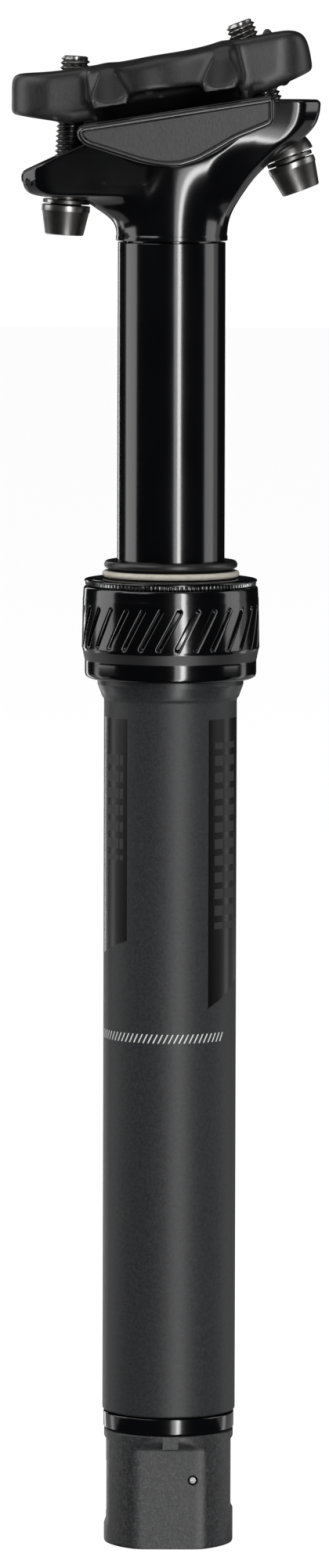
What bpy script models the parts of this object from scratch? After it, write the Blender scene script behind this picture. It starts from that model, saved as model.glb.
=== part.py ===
"""Dropper seatpost: a saddle clamp and head on a sliding stanchion, in a clamped outer tube.

Frame: +Z up along the post, -X towards the front of the bicycle, origin at the centre of the
actuator housing's bottom face. Every dimension below is in millimetres.
"""
import math

import bmesh
import bpy
from mathutils import Matrix, Vector

MM = 0.001

# Telescopic tubes
TUBE_RADIUS = 13.6
TUBE_BORE = 12.0
TUBE_BOTTOM = 27.3
TUBE_TOP = 194.0
BUSHING_SEAT_RADIUS = 12.9
BUSHING_SEAT_BOTTOM = 172.0
THREAD_RADIUS = 15.3
SHOULDER_RADIUS = 14.95
SHOULDER_BOTTOM = 176.4
STANCHION_RADIUS = 11.0
STANCHION_BORE = 9.6
STANCHION_BOTTOM = 98.0
STANCHION_TOP = 266.7
GAP = 0.3

# Collar and seal
COLLAR_BOTTOM = 177.6
COLLAR_TOP = 196.4
COLLAR_BORE = 15.6
COLLAR_BODY_RADIUS = 17.55
COLLAR_GRIP_RADIUS = 18.17
CAP_RADIUS = 17.7
CAP_TOP = 198.0
LIP_RADIUS = 13.67
LIP_TOP = 201.7
TENSION_RING_RADIUS = 13.4
TENSION_RING_SECTION = 0.65
TENSION_RING_Z = 198.95

# Anti-rotation keys
KEY_COUNT = 3
KEY_WIDTH = 2.4
KEY_BOTTOM = 115.3
KEY_TOP = 128.7
KEY_INNER = 10.4
KEY_OUTER = 12.35
KEYWAY_OUTER = 12.65
KEYWAY_BOTTOM = 40.0
KEYWAY_TOP = 134.0

# Gas cartridge
SHAFT_RADIUS = 4.0
SHAFT_BORE = 1.6
SHAFT_BOTTOM = 17.4
SHAFT_TOP = 122.0
CARTRIDGE_RADIUS = 9.2
CARTRIDGE_BORE = 8.3
CARTRIDGE_BOTTOM = 103.5
CARTRIDGE_TOP = 250.0
PISTON_RADIUS = 8.0
VALVE_PIN_RADIUS = 1.2

# Foot of the post
END_CAP_RADIUS = 13.38
END_CAP_BOTTOM = 23.8
END_CAP_RIM_TOP = 27.0
END_CAP_TOP = 36.0
SPIGOT_RADIUS = 9.6
HOUSING_RADIUS = 13.35
HOUSING_TOP = 23.5
HOUSING_FLAT_Y = 11.2
HOUSING_SIDE_X = 12.85
HOUSING_FLOOR = 3.0
PIVOT_X = 5.0
PIVOT_Z = 14.2
PIN_RADIUS = 0.8
LEVER_HALF_WIDTH = 2.5
CABLE_INLET_X = 7.4
CABLE_INLET_RADIUS = 3.05

# Head
NECK_RADIUS = 11.3
NECK_BOTTOM = 267.0
TROUGH_X = -1.2
TROUGH_Z = 302.9
TROUGH_RADIUS = 20.5
HEAD_HALF_WIDTH = 12.0
WING_LEFT = 30.7
WING_RIGHT = 30.2
LEFT_WING_TOP = ((-34.0, 279.4), (-15.6, 287.9))
RIGHT_WING_TOP_Z = 295.75

# Rails that the clamp holds
RAIL_Y = 22.0
RAIL_Z = 295.2
RAIL_TILT = math.radians(9.1)
RAIL_CHANNEL_RADIUS = 3.6
CLAMP_HALF_WIDTH = 27.0
CHEEK_INNER_Y = 17.7

# Clamp bolts, from the end of the hexagon-socket head to the tip of the thread
BOLT_LENGTH = 36.6
BOLT_RADIUS = 3.0
BOLT_HEAD_HEIGHT = 6.1
BOLT_HEAD_RADIUS = 4.95
BOLT_HEAD_END_RADIUS = 3.8
WASHER_HOLE = 3.4
SEAT_HEIGHT = 7.5
BOLT_CLEARANCE = 4.0
DOME_RADIUS = 5.3
FRONT_BOLT_START = (-22.0, 268.1)
FRONT_BOLT_LEAN = math.radians(3.6)
FRONT_NUT_HEIGHT = 28.4
REAR_BOLT_START = (26.4, 277.3)
REAR_BOLT_LEAN = math.radians(-20.6)
REAR_NUT_HEIGHT = 27.4
NUT_RADIUS = 4.1
NUT_HALF_LENGTH = 7.5

ROUND_LARGE = 56
ROUND_MEDIUM = 36
ROUND_SMALL = 16

BLACK_GLOSS = ((0.012, 0.012, 0.014), 0.16, 0.9)
BLACK_SATIN = ((0.030, 0.030, 0.033), 0.42, 0.6)
TUBE_GREY = ((0.040, 0.041, 0.045), 0.48, 0.5)
STEEL_DARK = ((0.085, 0.080, 0.075), 0.34, 1.0)
STEEL_BRIGHT = ((0.55, 0.55, 0.56), 0.30, 1.0)
ALLOY = ((0.62, 0.63, 0.65), 0.35, 1.0)
BRASS = ((0.72, 0.50, 0.20), 0.32, 1.0)
RUBBER = ((0.020, 0.020, 0.021), 0.60, 0.0)
POLYMER = ((0.60, 0.58, 0.50), 0.50, 0.0)
PLASTIC = ((0.030, 0.031, 0.034), 0.55, 0.0)
CREAM = ((0.66, 0.61, 0.52), 0.45, 0.0)


def principled(name, look):
    """One Principled material from a (colour, roughness, metallic) look."""
    colour, roughness, metallic = look
    material = bpy.data.materials.new(name)
    material.use_nodes = True
    shader = material.node_tree.nodes["Principled BSDF"]
    shader.inputs["Base Color"].default_value = (*colour, 1.0)
    shader.inputs["Roughness"].default_value = roughness
    shader.inputs["Metallic"].default_value = metallic
    return material


def finish(name, bm, look, origin=(0, 0, 0), turn=0.0, sharp=32):
    """Make an object of a millimetre bmesh, drawn about its own origin, turned about Y."""
    bmesh.ops.recalc_face_normals(bm, faces=bm.faces)
    bmesh.ops.transform(bm, matrix=Matrix.Scale(MM, 4), verts=bm.verts)
    mesh = bpy.data.meshes.new(name)
    bm.to_mesh(mesh)
    bm.free()
    mesh.shade_smooth()
    mesh.set_sharp_from_angle(angle=math.radians(sharp))
    item = bpy.data.objects.new(name, mesh)
    bpy.context.scene.collection.objects.link(item)
    item.location = Vector(origin) * MM
    item.rotation_euler = (0, turn, 0)
    if look:
        mesh.materials.append(principled(name, look))
    return item


def turned(profile, segments, start=0.0):
    """Closed body turned about Z from a closed list of (radius, height) points."""
    bm = bmesh.new()
    rings = []
    for radius, height in profile:
        if radius == 0:
            rings.append([bm.verts.new((0, 0, height))] * segments)
            continue
        ring = []
        for step in range(segments):
            angle = start + 2 * math.pi * step / segments
            ring.append(bm.verts.new((radius * math.cos(angle), radius * math.sin(angle), height)))
        rings.append(ring)
    for upper, lower in zip(rings, rings[1:] + rings[:1]):
        for step in range(segments):
            follow = (step + 1) % segments
            corners = [upper[step], upper[follow], lower[follow], lower[step]]
            corners = list(dict.fromkeys(corners))
            if len(corners) > 2:
                bm.faces.new(corners)
    return bm


def prism_y(outline, low, high):
    """Closed body from an (x, z) outline, between two Y planes."""
    bm = bmesh.new()
    near = [bm.verts.new((x, low, z)) for x, z in outline]
    far = [bm.verts.new((x, high, z)) for x, z in outline]
    bm.faces.new(near)
    bm.faces.new(list(reversed(far)))
    for first in range(len(outline)):
        second = (first + 1) % len(outline)
        bm.faces.new((near[second], near[first], far[first], far[second]))
    return bm


def prism_x(outline, low, high):
    """Closed body from a (y, z) outline, between two X planes."""
    bm = prism_y(outline, -high, -low)
    bmesh.ops.rotate(bm, cent=(0, 0, 0), matrix=Matrix.Rotation(math.pi / 2, 3, "Z"), verts=bm.verts)
    return bm


def prism_z(outline, low, high):
    """Closed body from an (x, y) outline, between two heights."""
    bm = prism_y([(x, -y) for x, y in outline], low, high)
    bmesh.ops.rotate(bm, cent=(0, 0, 0), matrix=Matrix.Rotation(math.pi / 2, 3, "X"), verts=bm.verts)
    return bm


def box(low, high):
    """Closed box between two corners."""
    outline = [(low[0], low[2]), (high[0], low[2]), (high[0], high[2]), (low[0], high[2])]
    return prism_y(outline, low[1], high[1])


def hull(points):
    """Convex body around a list of points."""
    bm = bmesh.new()
    for point in points:
        bm.verts.new(point)
    bmesh.ops.convex_hull(bm, input=bm.verts)
    loose = [vert for vert in bm.verts if not vert.link_faces]
    bmesh.ops.delete(bm, geom=loose, context="VERTS")
    return bm


def arc(centre, radius, first, last, steps):
    """Points on a circle from one angle to another, in degrees."""
    points = []
    for step in range(steps + 1):
        angle = math.radians(first + (last - first) * step / steps)
        points.append((centre[0] + radius * math.cos(angle), centre[1] + radius * math.sin(angle)))
    return points


def shift(bm, offset):
    """Move a bmesh and return it."""
    bmesh.ops.translate(bm, vec=offset, verts=bm.verts)
    return bm


def rod_y(radius, centre, low, high, segments):
    """Round rod along Y through an (x, z) centre."""
    return prism_y(arc(centre, radius, 0, 360 - 360 / segments, segments - 1), low, high)


def boolean(target, name, bm, operation="DIFFERENCE", origin=(0, 0, 0), turn=0.0):
    """Cut, join or intersect a target with a hidden tool body."""
    tool = finish(name, bm, None, origin, turn)
    tool.hide_render = True
    tool.display_type = "WIRE"
    modifier = target.modifiers.new(name, "BOOLEAN")
    modifier.operation = operation
    modifier.object = tool
    return tool


def along(start, lean, height):
    """Point at a height along a bolt that starts at (x, z) and leans in the XZ plane."""
    return (start[0] + height * math.sin(lean), 0.0, start[1] + height * math.cos(lean))


def make_outer_tube():
    """Seat tube of the post: bushing seat and collar thread on top, three keyways inside."""
    profile = [
        (BUSHING_SEAT_RADIUS, TUBE_TOP),
        (THREAD_RADIUS, TUBE_TOP),
        (THREAD_RADIUS, COLLAR_BOTTOM + 0.6),
        (SHOULDER_RADIUS, COLLAR_BOTTOM + 0.3),
        (SHOULDER_RADIUS, SHOULDER_BOTTOM),
        (14.25, 174.5),
        (14.05, 173.9),
        (TUBE_RADIUS, 173.3),
        (TUBE_RADIUS, TUBE_BOTTOM + 0.3),
        (TUBE_RADIUS - 0.3, TUBE_BOTTOM),
        (12.4, TUBE_BOTTOM),
        (12.4, 37.5),
        (TUBE_BORE, 37.5),
        (TUBE_BORE, BUSHING_SEAT_BOTTOM),
        (BUSHING_SEAT_RADIUS, BUSHING_SEAT_BOTTOM),
    ]
    tube = finish("outer_tube", turned(profile, ROUND_LARGE), TUBE_GREY)
    half = KEY_WIDTH / 2 + GAP
    for index in range(KEY_COUNT):
        keyway = box((STANCHION_RADIUS, -half, KEYWAY_BOTTOM), (KEYWAY_OUTER, half, KEYWAY_TOP))
        turn_about_post(keyway, index)
        boolean(tube, f"keyway_{index + 1}", keyway)


def turn_about_post(bm, index):
    """Turn a key or keyway to its place around the post."""
    angle = math.radians(30) + 2 * math.pi * index / KEY_COUNT
    bmesh.ops.rotate(bm, cent=(0, 0, 0), matrix=Matrix.Rotation(angle, 3, "Z"), verts=bm.verts)


def make_bushings():
    """Upper slide bushing in the tube and lower slide bushing on the stanchion."""
    upper = [(STANCHION_RADIUS + GAP, 189.0), (12.6, 189.0), (12.6, 172.4), (STANCHION_RADIUS + GAP, 172.4)]
    finish("upper_bushing", turned(upper, ROUND_MEDIUM), POLYMER)
    lower = [(10.85, 111.0), (11.7, 111.0), (11.7, 100.4), (10.85, 100.4)]
    finish("lower_bushing", turned(lower, ROUND_MEDIUM), POLYMER)


def make_collar():
    """Screwed grip collar: plain foot, chamfer, grip band and top edge."""
    profile = [
        (COLLAR_BORE, COLLAR_TOP),
        (17.45, COLLAR_TOP),
        (17.75, COLLAR_TOP - 0.15),
        (17.87, COLLAR_TOP - 0.6),
        (17.95, 194.0),
        (COLLAR_GRIP_RADIUS, 184.2),
        (18.1, 183.5),
        (COLLAR_BODY_RADIUS, 181.2),
        (COLLAR_BODY_RADIUS, 178.6),
        (17.3, 177.9),
        (16.6, COLLAR_BOTTOM),
        (COLLAR_BORE, COLLAR_BOTTOM),
    ]
    finish("collar", turned(profile, ROUND_LARGE), BLACK_GLOSS)


def make_collar_cap():
    """Serrated cap that the collar clamps on the tube's top end, around the wiper."""
    profile = [
        (BUSHING_SEAT_RADIUS, CAP_TOP),
        (16.6, CAP_TOP - 0.15),
        (CAP_RADIUS - 0.3, CAP_TOP - 0.3),
        (CAP_RADIUS, CAP_TOP - 0.6),
        (CAP_RADIUS - 0.2, COLLAR_TOP + GAP),
        (15.2, COLLAR_TOP + GAP),
        (15.2, TUBE_TOP + GAP),
        (BUSHING_SEAT_RADIUS, TUBE_TOP + GAP),
    ]
    finish("collar_cap", turned(profile, ROUND_LARGE), BLACK_GLOSS)


def make_wiper():
    """Rubber wiper with its lip, and the tension ring in the groove under the lip."""
    inner = STANCHION_RADIUS + 0.25
    groove = TENSION_RING_RADIUS - TENSION_RING_SECTION - GAP
    profile = [
        (inner, LIP_TOP - 0.3),
        (12.1, LIP_TOP - 0.35),
        (12.9, LIP_TOP),
        (13.4, LIP_TOP - 0.2),
        (LIP_RADIUS, LIP_TOP - 0.8),
        (LIP_RADIUS - 0.1, LIP_TOP - 1.4),
        (groove + 0.3, LIP_TOP - 1.8),
        (groove, LIP_TOP - 2.0),
        (groove, 189.3),
        (inner, 189.3),
    ]
    finish("wiper_seal", turned(profile, ROUND_MEDIUM), RUBBER)
    ring = arc((TENSION_RING_RADIUS, TENSION_RING_Z), TENSION_RING_SECTION, 0, 315, 7)
    finish("wiper_tension_ring", turned(ring, ROUND_MEDIUM), CREAM)


def make_stanchion():
    """Sliding tube with its lower bushing seat and a pocket for each key."""
    profile = [
        (STANCHION_BORE, STANCHION_TOP),
        (STANCHION_RADIUS, STANCHION_TOP),
        (STANCHION_RADIUS, 111.3),
        (10.5, 111.3),
        (10.5, 100.1),
        (STANCHION_RADIUS, 100.1),
        (STANCHION_RADIUS, STANCHION_BOTTOM),
        (STANCHION_BORE, STANCHION_BOTTOM),
    ]
    stanchion = finish("stanchion", turned(profile, ROUND_MEDIUM), BLACK_GLOSS)
    half = KEY_WIDTH / 2 + 0.25
    low, high = KEY_BOTTOM - 0.25, KEY_TOP + 0.25
    for index in range(KEY_COUNT):
        pocket = box((KEY_INNER - 0.25, -half, low), (STANCHION_RADIUS + 1, half, high))
        turn_about_post(pocket, index)
        boolean(stanchion, f"key_pocket_{index + 1}", pocket)
        key = box((KEY_INNER, -KEY_WIDTH / 2, KEY_BOTTOM), (KEY_OUTER, KEY_WIDTH / 2, KEY_TOP))
        turn_about_post(key, index)
        finish(f"anti_rotation_key_{index + 1}", key, BRASS)


def make_cartridge():
    """Gas cartridge: fixed shaft and piston, sliding cylinder, seal head and floating piston."""
    piston_bottom = CARTRIDGE_BOTTOM + 10.5
    shaft = [
        (SHAFT_BORE, SHAFT_TOP),
        (2.8, SHAFT_TOP),
        (2.8, piston_bottom - 0.1),
        (SHAFT_RADIUS, piston_bottom - 0.1),
        (SHAFT_RADIUS, 38.3),
        (6.0, 38.3),
        (6.0, END_CAP_TOP + GAP),
        (SHAFT_RADIUS, END_CAP_TOP + GAP),
        (SHAFT_RADIUS, SHAFT_BOTTOM),
        (SHAFT_BORE, SHAFT_BOTTOM),
    ]
    finish("cartridge_shaft", turned(shaft, ROUND_SMALL), STEEL_BRIGHT)
    piston = [
        (3.1, 121.0), (PISTON_RADIUS, 121.0), (PISTON_RADIUS, 118.6), (7.3, 118.6), (7.3, 116.6),
        (PISTON_RADIUS, 116.6), (PISTON_RADIUS, piston_bottom + 0.2), (3.1, piston_bottom + 0.2),
    ]
    finish("cartridge_piston", turned(piston, ROUND_SMALL + 8), ALLOY)
    cylinder = [
        (0, CARTRIDGE_TOP), (CARTRIDGE_RADIUS, CARTRIDGE_TOP), (CARTRIDGE_RADIUS, CARTRIDGE_BOTTOM),
        (CARTRIDGE_BORE, CARTRIDGE_BOTTOM), (CARTRIDGE_BORE, CARTRIDGE_TOP - 3), (0, CARTRIDGE_TOP - 3),
    ]
    finish("cartridge_cylinder", turned(cylinder, ROUND_SMALL + 12), ALLOY)
    seal = [
        (SHAFT_RADIUS + GAP, 113.5), (PISTON_RADIUS, 113.5), (PISTON_RADIUS, CARTRIDGE_BOTTOM - GAP),
        (CARTRIDGE_RADIUS, CARTRIDGE_BOTTOM - GAP), (CARTRIDGE_RADIUS, 101.7), (SHAFT_RADIUS + GAP, 101.7),
    ]
    finish("cartridge_seal_head", turned(seal, ROUND_SMALL + 12), ALLOY)
    retainer = [(6.5, 101.4), (9.25, 101.4), (9.25, 100.0), (6.5, 100.0)]
    finish("cartridge_retaining_ring", turned(retainer, ROUND_SMALL + 12), STEEL_DARK)
    floating = [
        (0, 187.0), (6.0, 187.0), (6.0, 191.0), (PISTON_RADIUS, 191.0), (PISTON_RADIUS, 184.0), (0, 184.0),
    ]
    finish("floating_piston", turned(floating, ROUND_SMALL + 8), ALLOY)
    pin = [(0, 118.0), (VALVE_PIN_RADIUS, 118.0), (VALVE_PIN_RADIUS, 15.9), (0.9, 15.7), (0, 15.7)]
    finish("valve_pin", turned(pin, 12), STEEL_BRIGHT)


def make_foot():
    """End cap with its rim, the nut under it and the bumper on it."""
    cap = [
        (SHAFT_RADIUS + GAP, END_CAP_TOP),
        (12.1, END_CAP_TOP),
        (12.1, END_CAP_RIM_TOP),
        (END_CAP_RADIUS, END_CAP_RIM_TOP),
        (END_CAP_RADIUS, END_CAP_BOTTOM),
        (SPIGOT_RADIUS, END_CAP_BOTTOM),
        (SPIGOT_RADIUS, 20.2),
        (SHAFT_RADIUS + GAP, 20.2),
    ]
    finish("tube_end_cap", turned(cap, ROUND_MEDIUM), BLACK_GLOSS)
    bumper = [(7.0, 37.7), (10.8, 37.7), (10.8, END_CAP_TOP + GAP), (7.0, END_CAP_TOP + GAP)]
    finish("bottom_bumper", turned(bumper, ROUND_MEDIUM), RUBBER)
    nut = finish("shaft_nut", turned([(0, 19.9), (6.35, 19.9), (6.35, 17.6), (0, 17.6)], 6), STEEL_DARK)
    bore = turned([(0, 21.0), (SHAFT_RADIUS + GAP, 21.0), (SHAFT_RADIUS + GAP, 16.0), (0, 16.0)], ROUND_SMALL)
    boolean(nut, "shaft_nut_bore", bore)


def make_housing():
    """Actuator housing: round rim, flat front and back, pocket for the lever, cable inlet."""
    body = [
        (0, HOUSING_TOP), (HOUSING_RADIUS - 0.3, HOUSING_TOP), (HOUSING_RADIUS, HOUSING_TOP - 0.3),
        (HOUSING_RADIUS, 0.6), (HOUSING_RADIUS - 0.6, 0.0), (0, 0.0),
    ]
    housing = finish("actuator_housing", turned(body, ROUND_LARGE), PLASTIC)
    for side, name in ((-1, "front"), (1, "back")):
        outline = [
            (side * HOUSING_FLAT_Y, -1), (side * HOUSING_FLAT_Y, 20.2), (side * 13.5, 23.1),
            (side * 16, 23.1), (side * 16, -1),
        ]
        boolean(housing, f"housing_{name}_flat", prism_x(outline, -16, 16))
    for side, name, low in ((-1, "left", 3.9), (1, "right", 6.9)):
        outline = [
            (side * HOUSING_SIDE_X, low + 0.5), (side * HOUSING_SIDE_X, 21.4), (side * 13.5, 21.9),
            (side * 16, 21.9), (side * 16, low), (side * 13.5, low),
        ]
        boolean(housing, f"housing_{name}_recess", prism_y(outline, -16, 16))
    tab = [(-11.0, 20.4), (-11.6, 20.4), (-13.2, 22.8), (-13.2, 23.3), (-11.0, 23.3)]
    boolean(housing, "front_tab", prism_x(tab, -0.9, 1.9), "UNION")
    boolean(housing, "lever_pocket", box((-10.6, -5.2, HOUSING_FLOOR), (10.6, 5.2, 25)))
    spigot_bore = turned([(0, 25), (10.0, 25), (10.0, 17.3), (0, 17.3)], ROUND_MEDIUM)
    boolean(housing, "spigot_bore", spigot_bore)
    boolean(housing, "side_window", box((-16, -2.6, 6.0), (-9.0, 2.6, 16.8)))
    inlet = [(0, 5), (CABLE_INLET_RADIUS, 5), (CABLE_INLET_RADIUS, -1), (0, -1)]
    boolean(housing, "cable_inlet", shift(turned(inlet, ROUND_SMALL), (CABLE_INLET_X, 0, 0)))
    hole = rod_y(PIN_RADIUS + 0.25, (PIVOT_X, PIVOT_Z), -16, 16, ROUND_SMALL)
    boolean(housing, "pivot_hole", hole)


def make_lever():
    """Actuator lever on its cross pin; the left arm lifts the valve pin, the right holds the cable."""
    outline = [(10.1, 12.6), (10.1, 15.6)]
    outline += arc((PIVOT_X, PIVOT_Z), 2.7, 40, 130, 5)
    outline += [(0.6, 15.4), (-0.7, 15.1), (-1.5, 14.4), (-1.6, 13.5), (-0.9, 12.9)]
    outline += arc((PIVOT_X, PIVOT_Z), 2.7, 215, 320, 5)
    local = [(x - PIVOT_X, z - PIVOT_Z) for x, z in outline]
    origin = (PIVOT_X, 0, PIVOT_Z)
    lever = finish("actuator_lever", prism_y(local, -LEVER_HALF_WIDTH, LEVER_HALF_WIDTH), ALLOY, origin)
    boolean(lever, "lever_bore", rod_y(PIN_RADIUS + GAP, (0, 0), -6, 6, ROUND_SMALL), origin=origin)
    boolean(lever, "cable_notch", box((2.6, -0.9, -6), (8, 0.9, 6)), origin=origin)
    pin = rod_y(PIN_RADIUS, (0, 0), -HOUSING_FLAT_Y + 0.1, HOUSING_FLAT_Y - 0.1, ROUND_SMALL)
    finish("lever_pivot_pin", pin, STEEL_BRIGHT, origin)


def smooth_step(low, high, value):
    """0 below low, 1 above high, with a smooth rise between."""
    share = min(1.0, max(0.0, (value - low) / (high - low)))
    return share * share * (3 - 2 * share)


def rounded_max(first, second, blend):
    """The larger of two values, with the crease between them rounded."""
    share = max(blend - abs(first - second), 0.0) / blend
    return max(first, second) + share * share * blend / 4


def plan_radius(angle):
    """Distance from the post's axis to the head's plan outline, in one direction."""
    length = WING_RIGHT if math.cos(angle) > 0 else WING_LEFT
    low, high = 0.0, 2 * length
    for _ in range(40):
        middle = (low + high) / 2
        x, y = abs(middle * math.cos(angle)), abs(middle * math.sin(angle))
        corner = (x - length + 3.4) * 0.762 + (y - HEAD_HALF_WIDTH) * 0.648
        outside = rounded_max(rounded_max(y - HEAD_HALF_WIDTH, corner, 1.6), x - length, 1.2)
        if outside < 0:
            low = middle
        else:
            high = middle
    return low


# (distance from the axis, height) of the head's underside, from the neck to the outline
UNDERSIDE_LEFT = (
    (11.3, 268.3), (11.6, 270.0), (12.7, 271.5), (15.0, 273.2), (18.0, 275.0), (22.5, 275.9),
    (27.2, 276.2), (29.6, 277.2), (30.45, 279.2), (30.7, 281.2), (30.7, 301.0),
)
UNDERSIDE_RIGHT = (
    (11.3, 268.3), (11.6, 270.6), (12.4, 273.0), (14.4, 276.4), (17.5, 280.5), (22.0, 284.6),
    (26.6, 288.0), (28.9, 290.4), (29.8, 292.4), (30.2, 295.0), (30.2, 301.0),
)
UNDERSIDE_SIDE = (
    (11.3, 268.3), (11.35, 270.0), (11.6, 272.0), (12.3, 275.0), (13.3, 278.0), (14.6, 281.0),
    (15.8, 283.6), (16.5, 285.8), (16.85, 288.0), (17.0, 290.5), (17.0, 301.0),
)


def head_section(angle):
    """(radius, height) points of the head's outside in one direction around the post."""
    tip = UNDERSIDE_RIGHT if math.cos(angle) > 0 else UNDERSIDE_LEFT
    toward_tip = smooth_step(0.55, 0.95, abs(math.cos(angle)))
    reach = plan_radius(angle)
    section = []
    for (tip_radius, tip_height), (side_radius, side_height) in zip(tip, UNDERSIDE_SIDE):
        tip_share = (tip_radius - NECK_RADIUS) / (tip[-1][0] - NECK_RADIUS)
        side_share = (side_radius - NECK_RADIUS) / (UNDERSIDE_SIDE[-1][0] - NECK_RADIUS)
        share = side_share + (tip_share - side_share) * toward_tip
        height = side_height + (tip_height - side_height) * toward_tip
        section.append((NECK_RADIUS + (reach - NECK_RADIUS) * share, height))
    return section


def make_head():
    """Forged head: spigot and pocket in the neck, two wings, round trough for the clamp."""
    count = ROUND_MEDIUM + 8
    inner = [(0, 272.0), (7.4, 271.0), (7.4, 256.0), (9.3, 256.0), (9.3, NECK_BOTTOM), (NECK_RADIUS, NECK_BOTTOM)]
    bm = bmesh.new()
    columns = []
    crown = bm.verts.new((0, 0, 301.0))
    top = bm.verts.new((0, 0, inner[0][1]))
    for step in range(count):
        even = 2 * math.pi * step / count
        angle = even - 0.16 * math.sin(2 * even)
        column = []
        for radius, height in inner[1:] + head_section(angle):
            column.append(bm.verts.new((radius * math.cos(angle), radius * math.sin(angle), height)))
        columns.append(column)
    for first, second in zip(columns, columns[1:] + columns[:1]):
        bm.faces.new((top, first[0], second[0]))
        for row in range(len(first) - 1):
            bm.faces.new((first[row], first[row + 1], second[row + 1], second[row]))
        bm.faces.new((first[-1], crown, second[-1]))
    head = finish("post_head", bm, BLACK_GLOSS)
    cut = list(LEFT_WING_TOP)
    cut += arc((TROUGH_X, TROUGH_Z), TROUGH_RADIUS, 227.5, 339.5, 22)
    cut += [(34, RIGHT_WING_TOP_Z), (34, 305), (-34, 305)]
    boolean(head, "head_top_cut", prism_y(cut, -20, 20))
    for name, start, lean in BOLTS:
        seat = along(start, lean, SEAT_HEIGHT)
        widest = math.degrees(math.acos(BOLT_CLEARANCE / (DOME_RADIUS + GAP)))
        socket = arc((0, 0), DOME_RADIUS + GAP, widest, -75, 9)
        profile = [(0, 30), (BOLT_CLEARANCE, 30)] + socket + [(0, -DOME_RADIUS - GAP)]
        boolean(head, f"{name}_passage", turned(profile, ROUND_SMALL), origin=seat, turn=lean)


BOLTS = (
    ("front_bolt", FRONT_BOLT_START, FRONT_BOLT_LEAN),
    ("rear_bolt", REAR_BOLT_START, REAR_BOLT_LEAN),
)
NUTS = (
    ("front_nut", FRONT_BOLT_START, FRONT_BOLT_LEAN, FRONT_NUT_HEIGHT),
    ("rear_nut", REAR_BOLT_START, REAR_BOLT_LEAN, REAR_NUT_HEIGHT),
)


def make_bolts():
    """Clamp bolts with a flat washer and a domed washer, drawn from the dome's centre."""
    head = -SEAT_HEIGHT
    under = head + BOLT_HEAD_HEIGHT
    tip = head + BOLT_LENGTH
    bolt = [
        (0, tip), (2.5, tip), (BOLT_RADIUS, tip - 0.6), (BOLT_RADIUS, under), (BOLT_HEAD_RADIUS, under),
        (BOLT_HEAD_RADIUS, under - 1.3), (BOLT_HEAD_RADIUS - 0.2, under - 1.5),
        (BOLT_HEAD_END_RADIUS, head), (0, head),
    ]
    socket = [(0, head + 3.4), (2.9, head + 3.0), (2.9, head - 1), (0, head - 1)]
    washer = [(WASHER_HOLE, -GAP), (4.8, -GAP), (4.8, -1.1), (WASHER_HOLE, -1.1)]
    dome = arc((0, 0), DOME_RADIUS, 47, 5, 6) + [(DOME_RADIUS, 0.0), (WASHER_HOLE, 0.0), (WASHER_HOLE, 3.88)]
    for name, start, lean in BOLTS:
        seat = along(start, lean, SEAT_HEIGHT)
        item = finish(name, turned(bolt, ROUND_SMALL), STEEL_DARK, seat, lean)
        boolean(item, f"{name}_socket", turned(socket, 6), origin=seat, turn=lean)
        finish(f"{name}_washer", turned(washer, ROUND_SMALL), STEEL_DARK, seat, lean)
        finish(f"{name}_domed_washer", turned(dome, ROUND_SMALL), STEEL_DARK, seat, lean)


def make_nuts():
    """Barrel nuts across the upper clamp, each on the line of its bolt."""
    for name, start, lean, height in NUTS:
        centre = along(start, lean, height)
        nut = rod_y(NUT_RADIUS, (0, 0), -NUT_HALF_LENGTH, NUT_HALF_LENGTH, ROUND_SMALL + 4)
        item = finish(name, nut, STEEL_BRIGHT, centre, lean)
        hole = [(0, 8), (BOLT_RADIUS + GAP, 8), (BOLT_RADIUS + GAP, -8), (0, -8)]
        boolean(item, f"{name}_thread", turned(hole, ROUND_SMALL), origin=centre, turn=lean)


def rail_height(x):
    """Height of the saddle rails' axis at a place along the bicycle."""
    return RAIL_Z + x * math.tan(RAIL_TILT)


def cut_rails(target, label):
    """Cut the two rail channels out of a clamp half."""
    for side, name in ((-1, "left"), (1, "right")):
        profile = [(0, 30), (RAIL_CHANNEL_RADIUS, 30), (RAIL_CHANNEL_RADIUS, -30), (0, -30)]
        origin = (0, side * RAIL_Y, RAIL_Z)
        turn = math.pi / 2 - RAIL_TILT
        boolean(target, f"{label}_{name}_rail", turned(profile, ROUND_SMALL), origin=origin, turn=turn)


def make_lower_clamp():
    """Lower cradle: round belly in the head's trough, a cheek and half a rail channel per side."""
    slope = math.tan(RAIL_TILT)
    belly_radius = TROUGH_RADIUS - GAP
    belly = arc((TROUGH_X, TROUGH_Z), belly_radius, 228, 314, 18)
    left, right = belly[0][0] - 0.6, belly[-1][0] + 0.6
    web = [(left, 292.2 + left * slope), (left, belly[0][1] + 0.8)] + belly
    web += [(right, belly[-1][1] + 0.8), (right, 292.2 + right * slope)]
    clamp = finish("lower_clamp", prism_y(web, -18.2, 18.2), BLACK_SATIN)
    cheek = [
        (-18.1, 290.9), (-19.0, 290.2), (-19.2, 289.3), (-18.6, 287.8), (-17.3, 286.8), (-6.3, 283.3),
        (-3.2, 282.7), (-0.7, 282.5), (1.9, 282.7), (5.5, 283.8), (9.3, 285.9), (13.1, 288.2),
        (19.2, 290.7), (20.3, 291.3), (20.7, 292.4), (20.6, 296.2), (19.8, 296.9),
    ]
    for side, name in ((-1, "left"), (1, "right")):
        low, high = sorted((side * CHEEK_INNER_Y, side * CLAMP_HALF_WIDTH))
        boolean(clamp, f"{name}_cheek", prism_y(cheek, low, high), "UNION")
    cut_rails(clamp, "lower")


UPPER_CLAMP_TOP = (
    (-30.8, 301.0), (-25.3, 301.3), (-21.1, 301.8), (-11.7, 303.0), (-4.1, 304.4), (3.5, 305.7),
    (10.0, 307.3), (17.1, 308.8), (21.3, 309.6), (24.3, 309.8), (26.8, 308.8), (28.1, 306.4), (29.1, 303.0),
)
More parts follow.
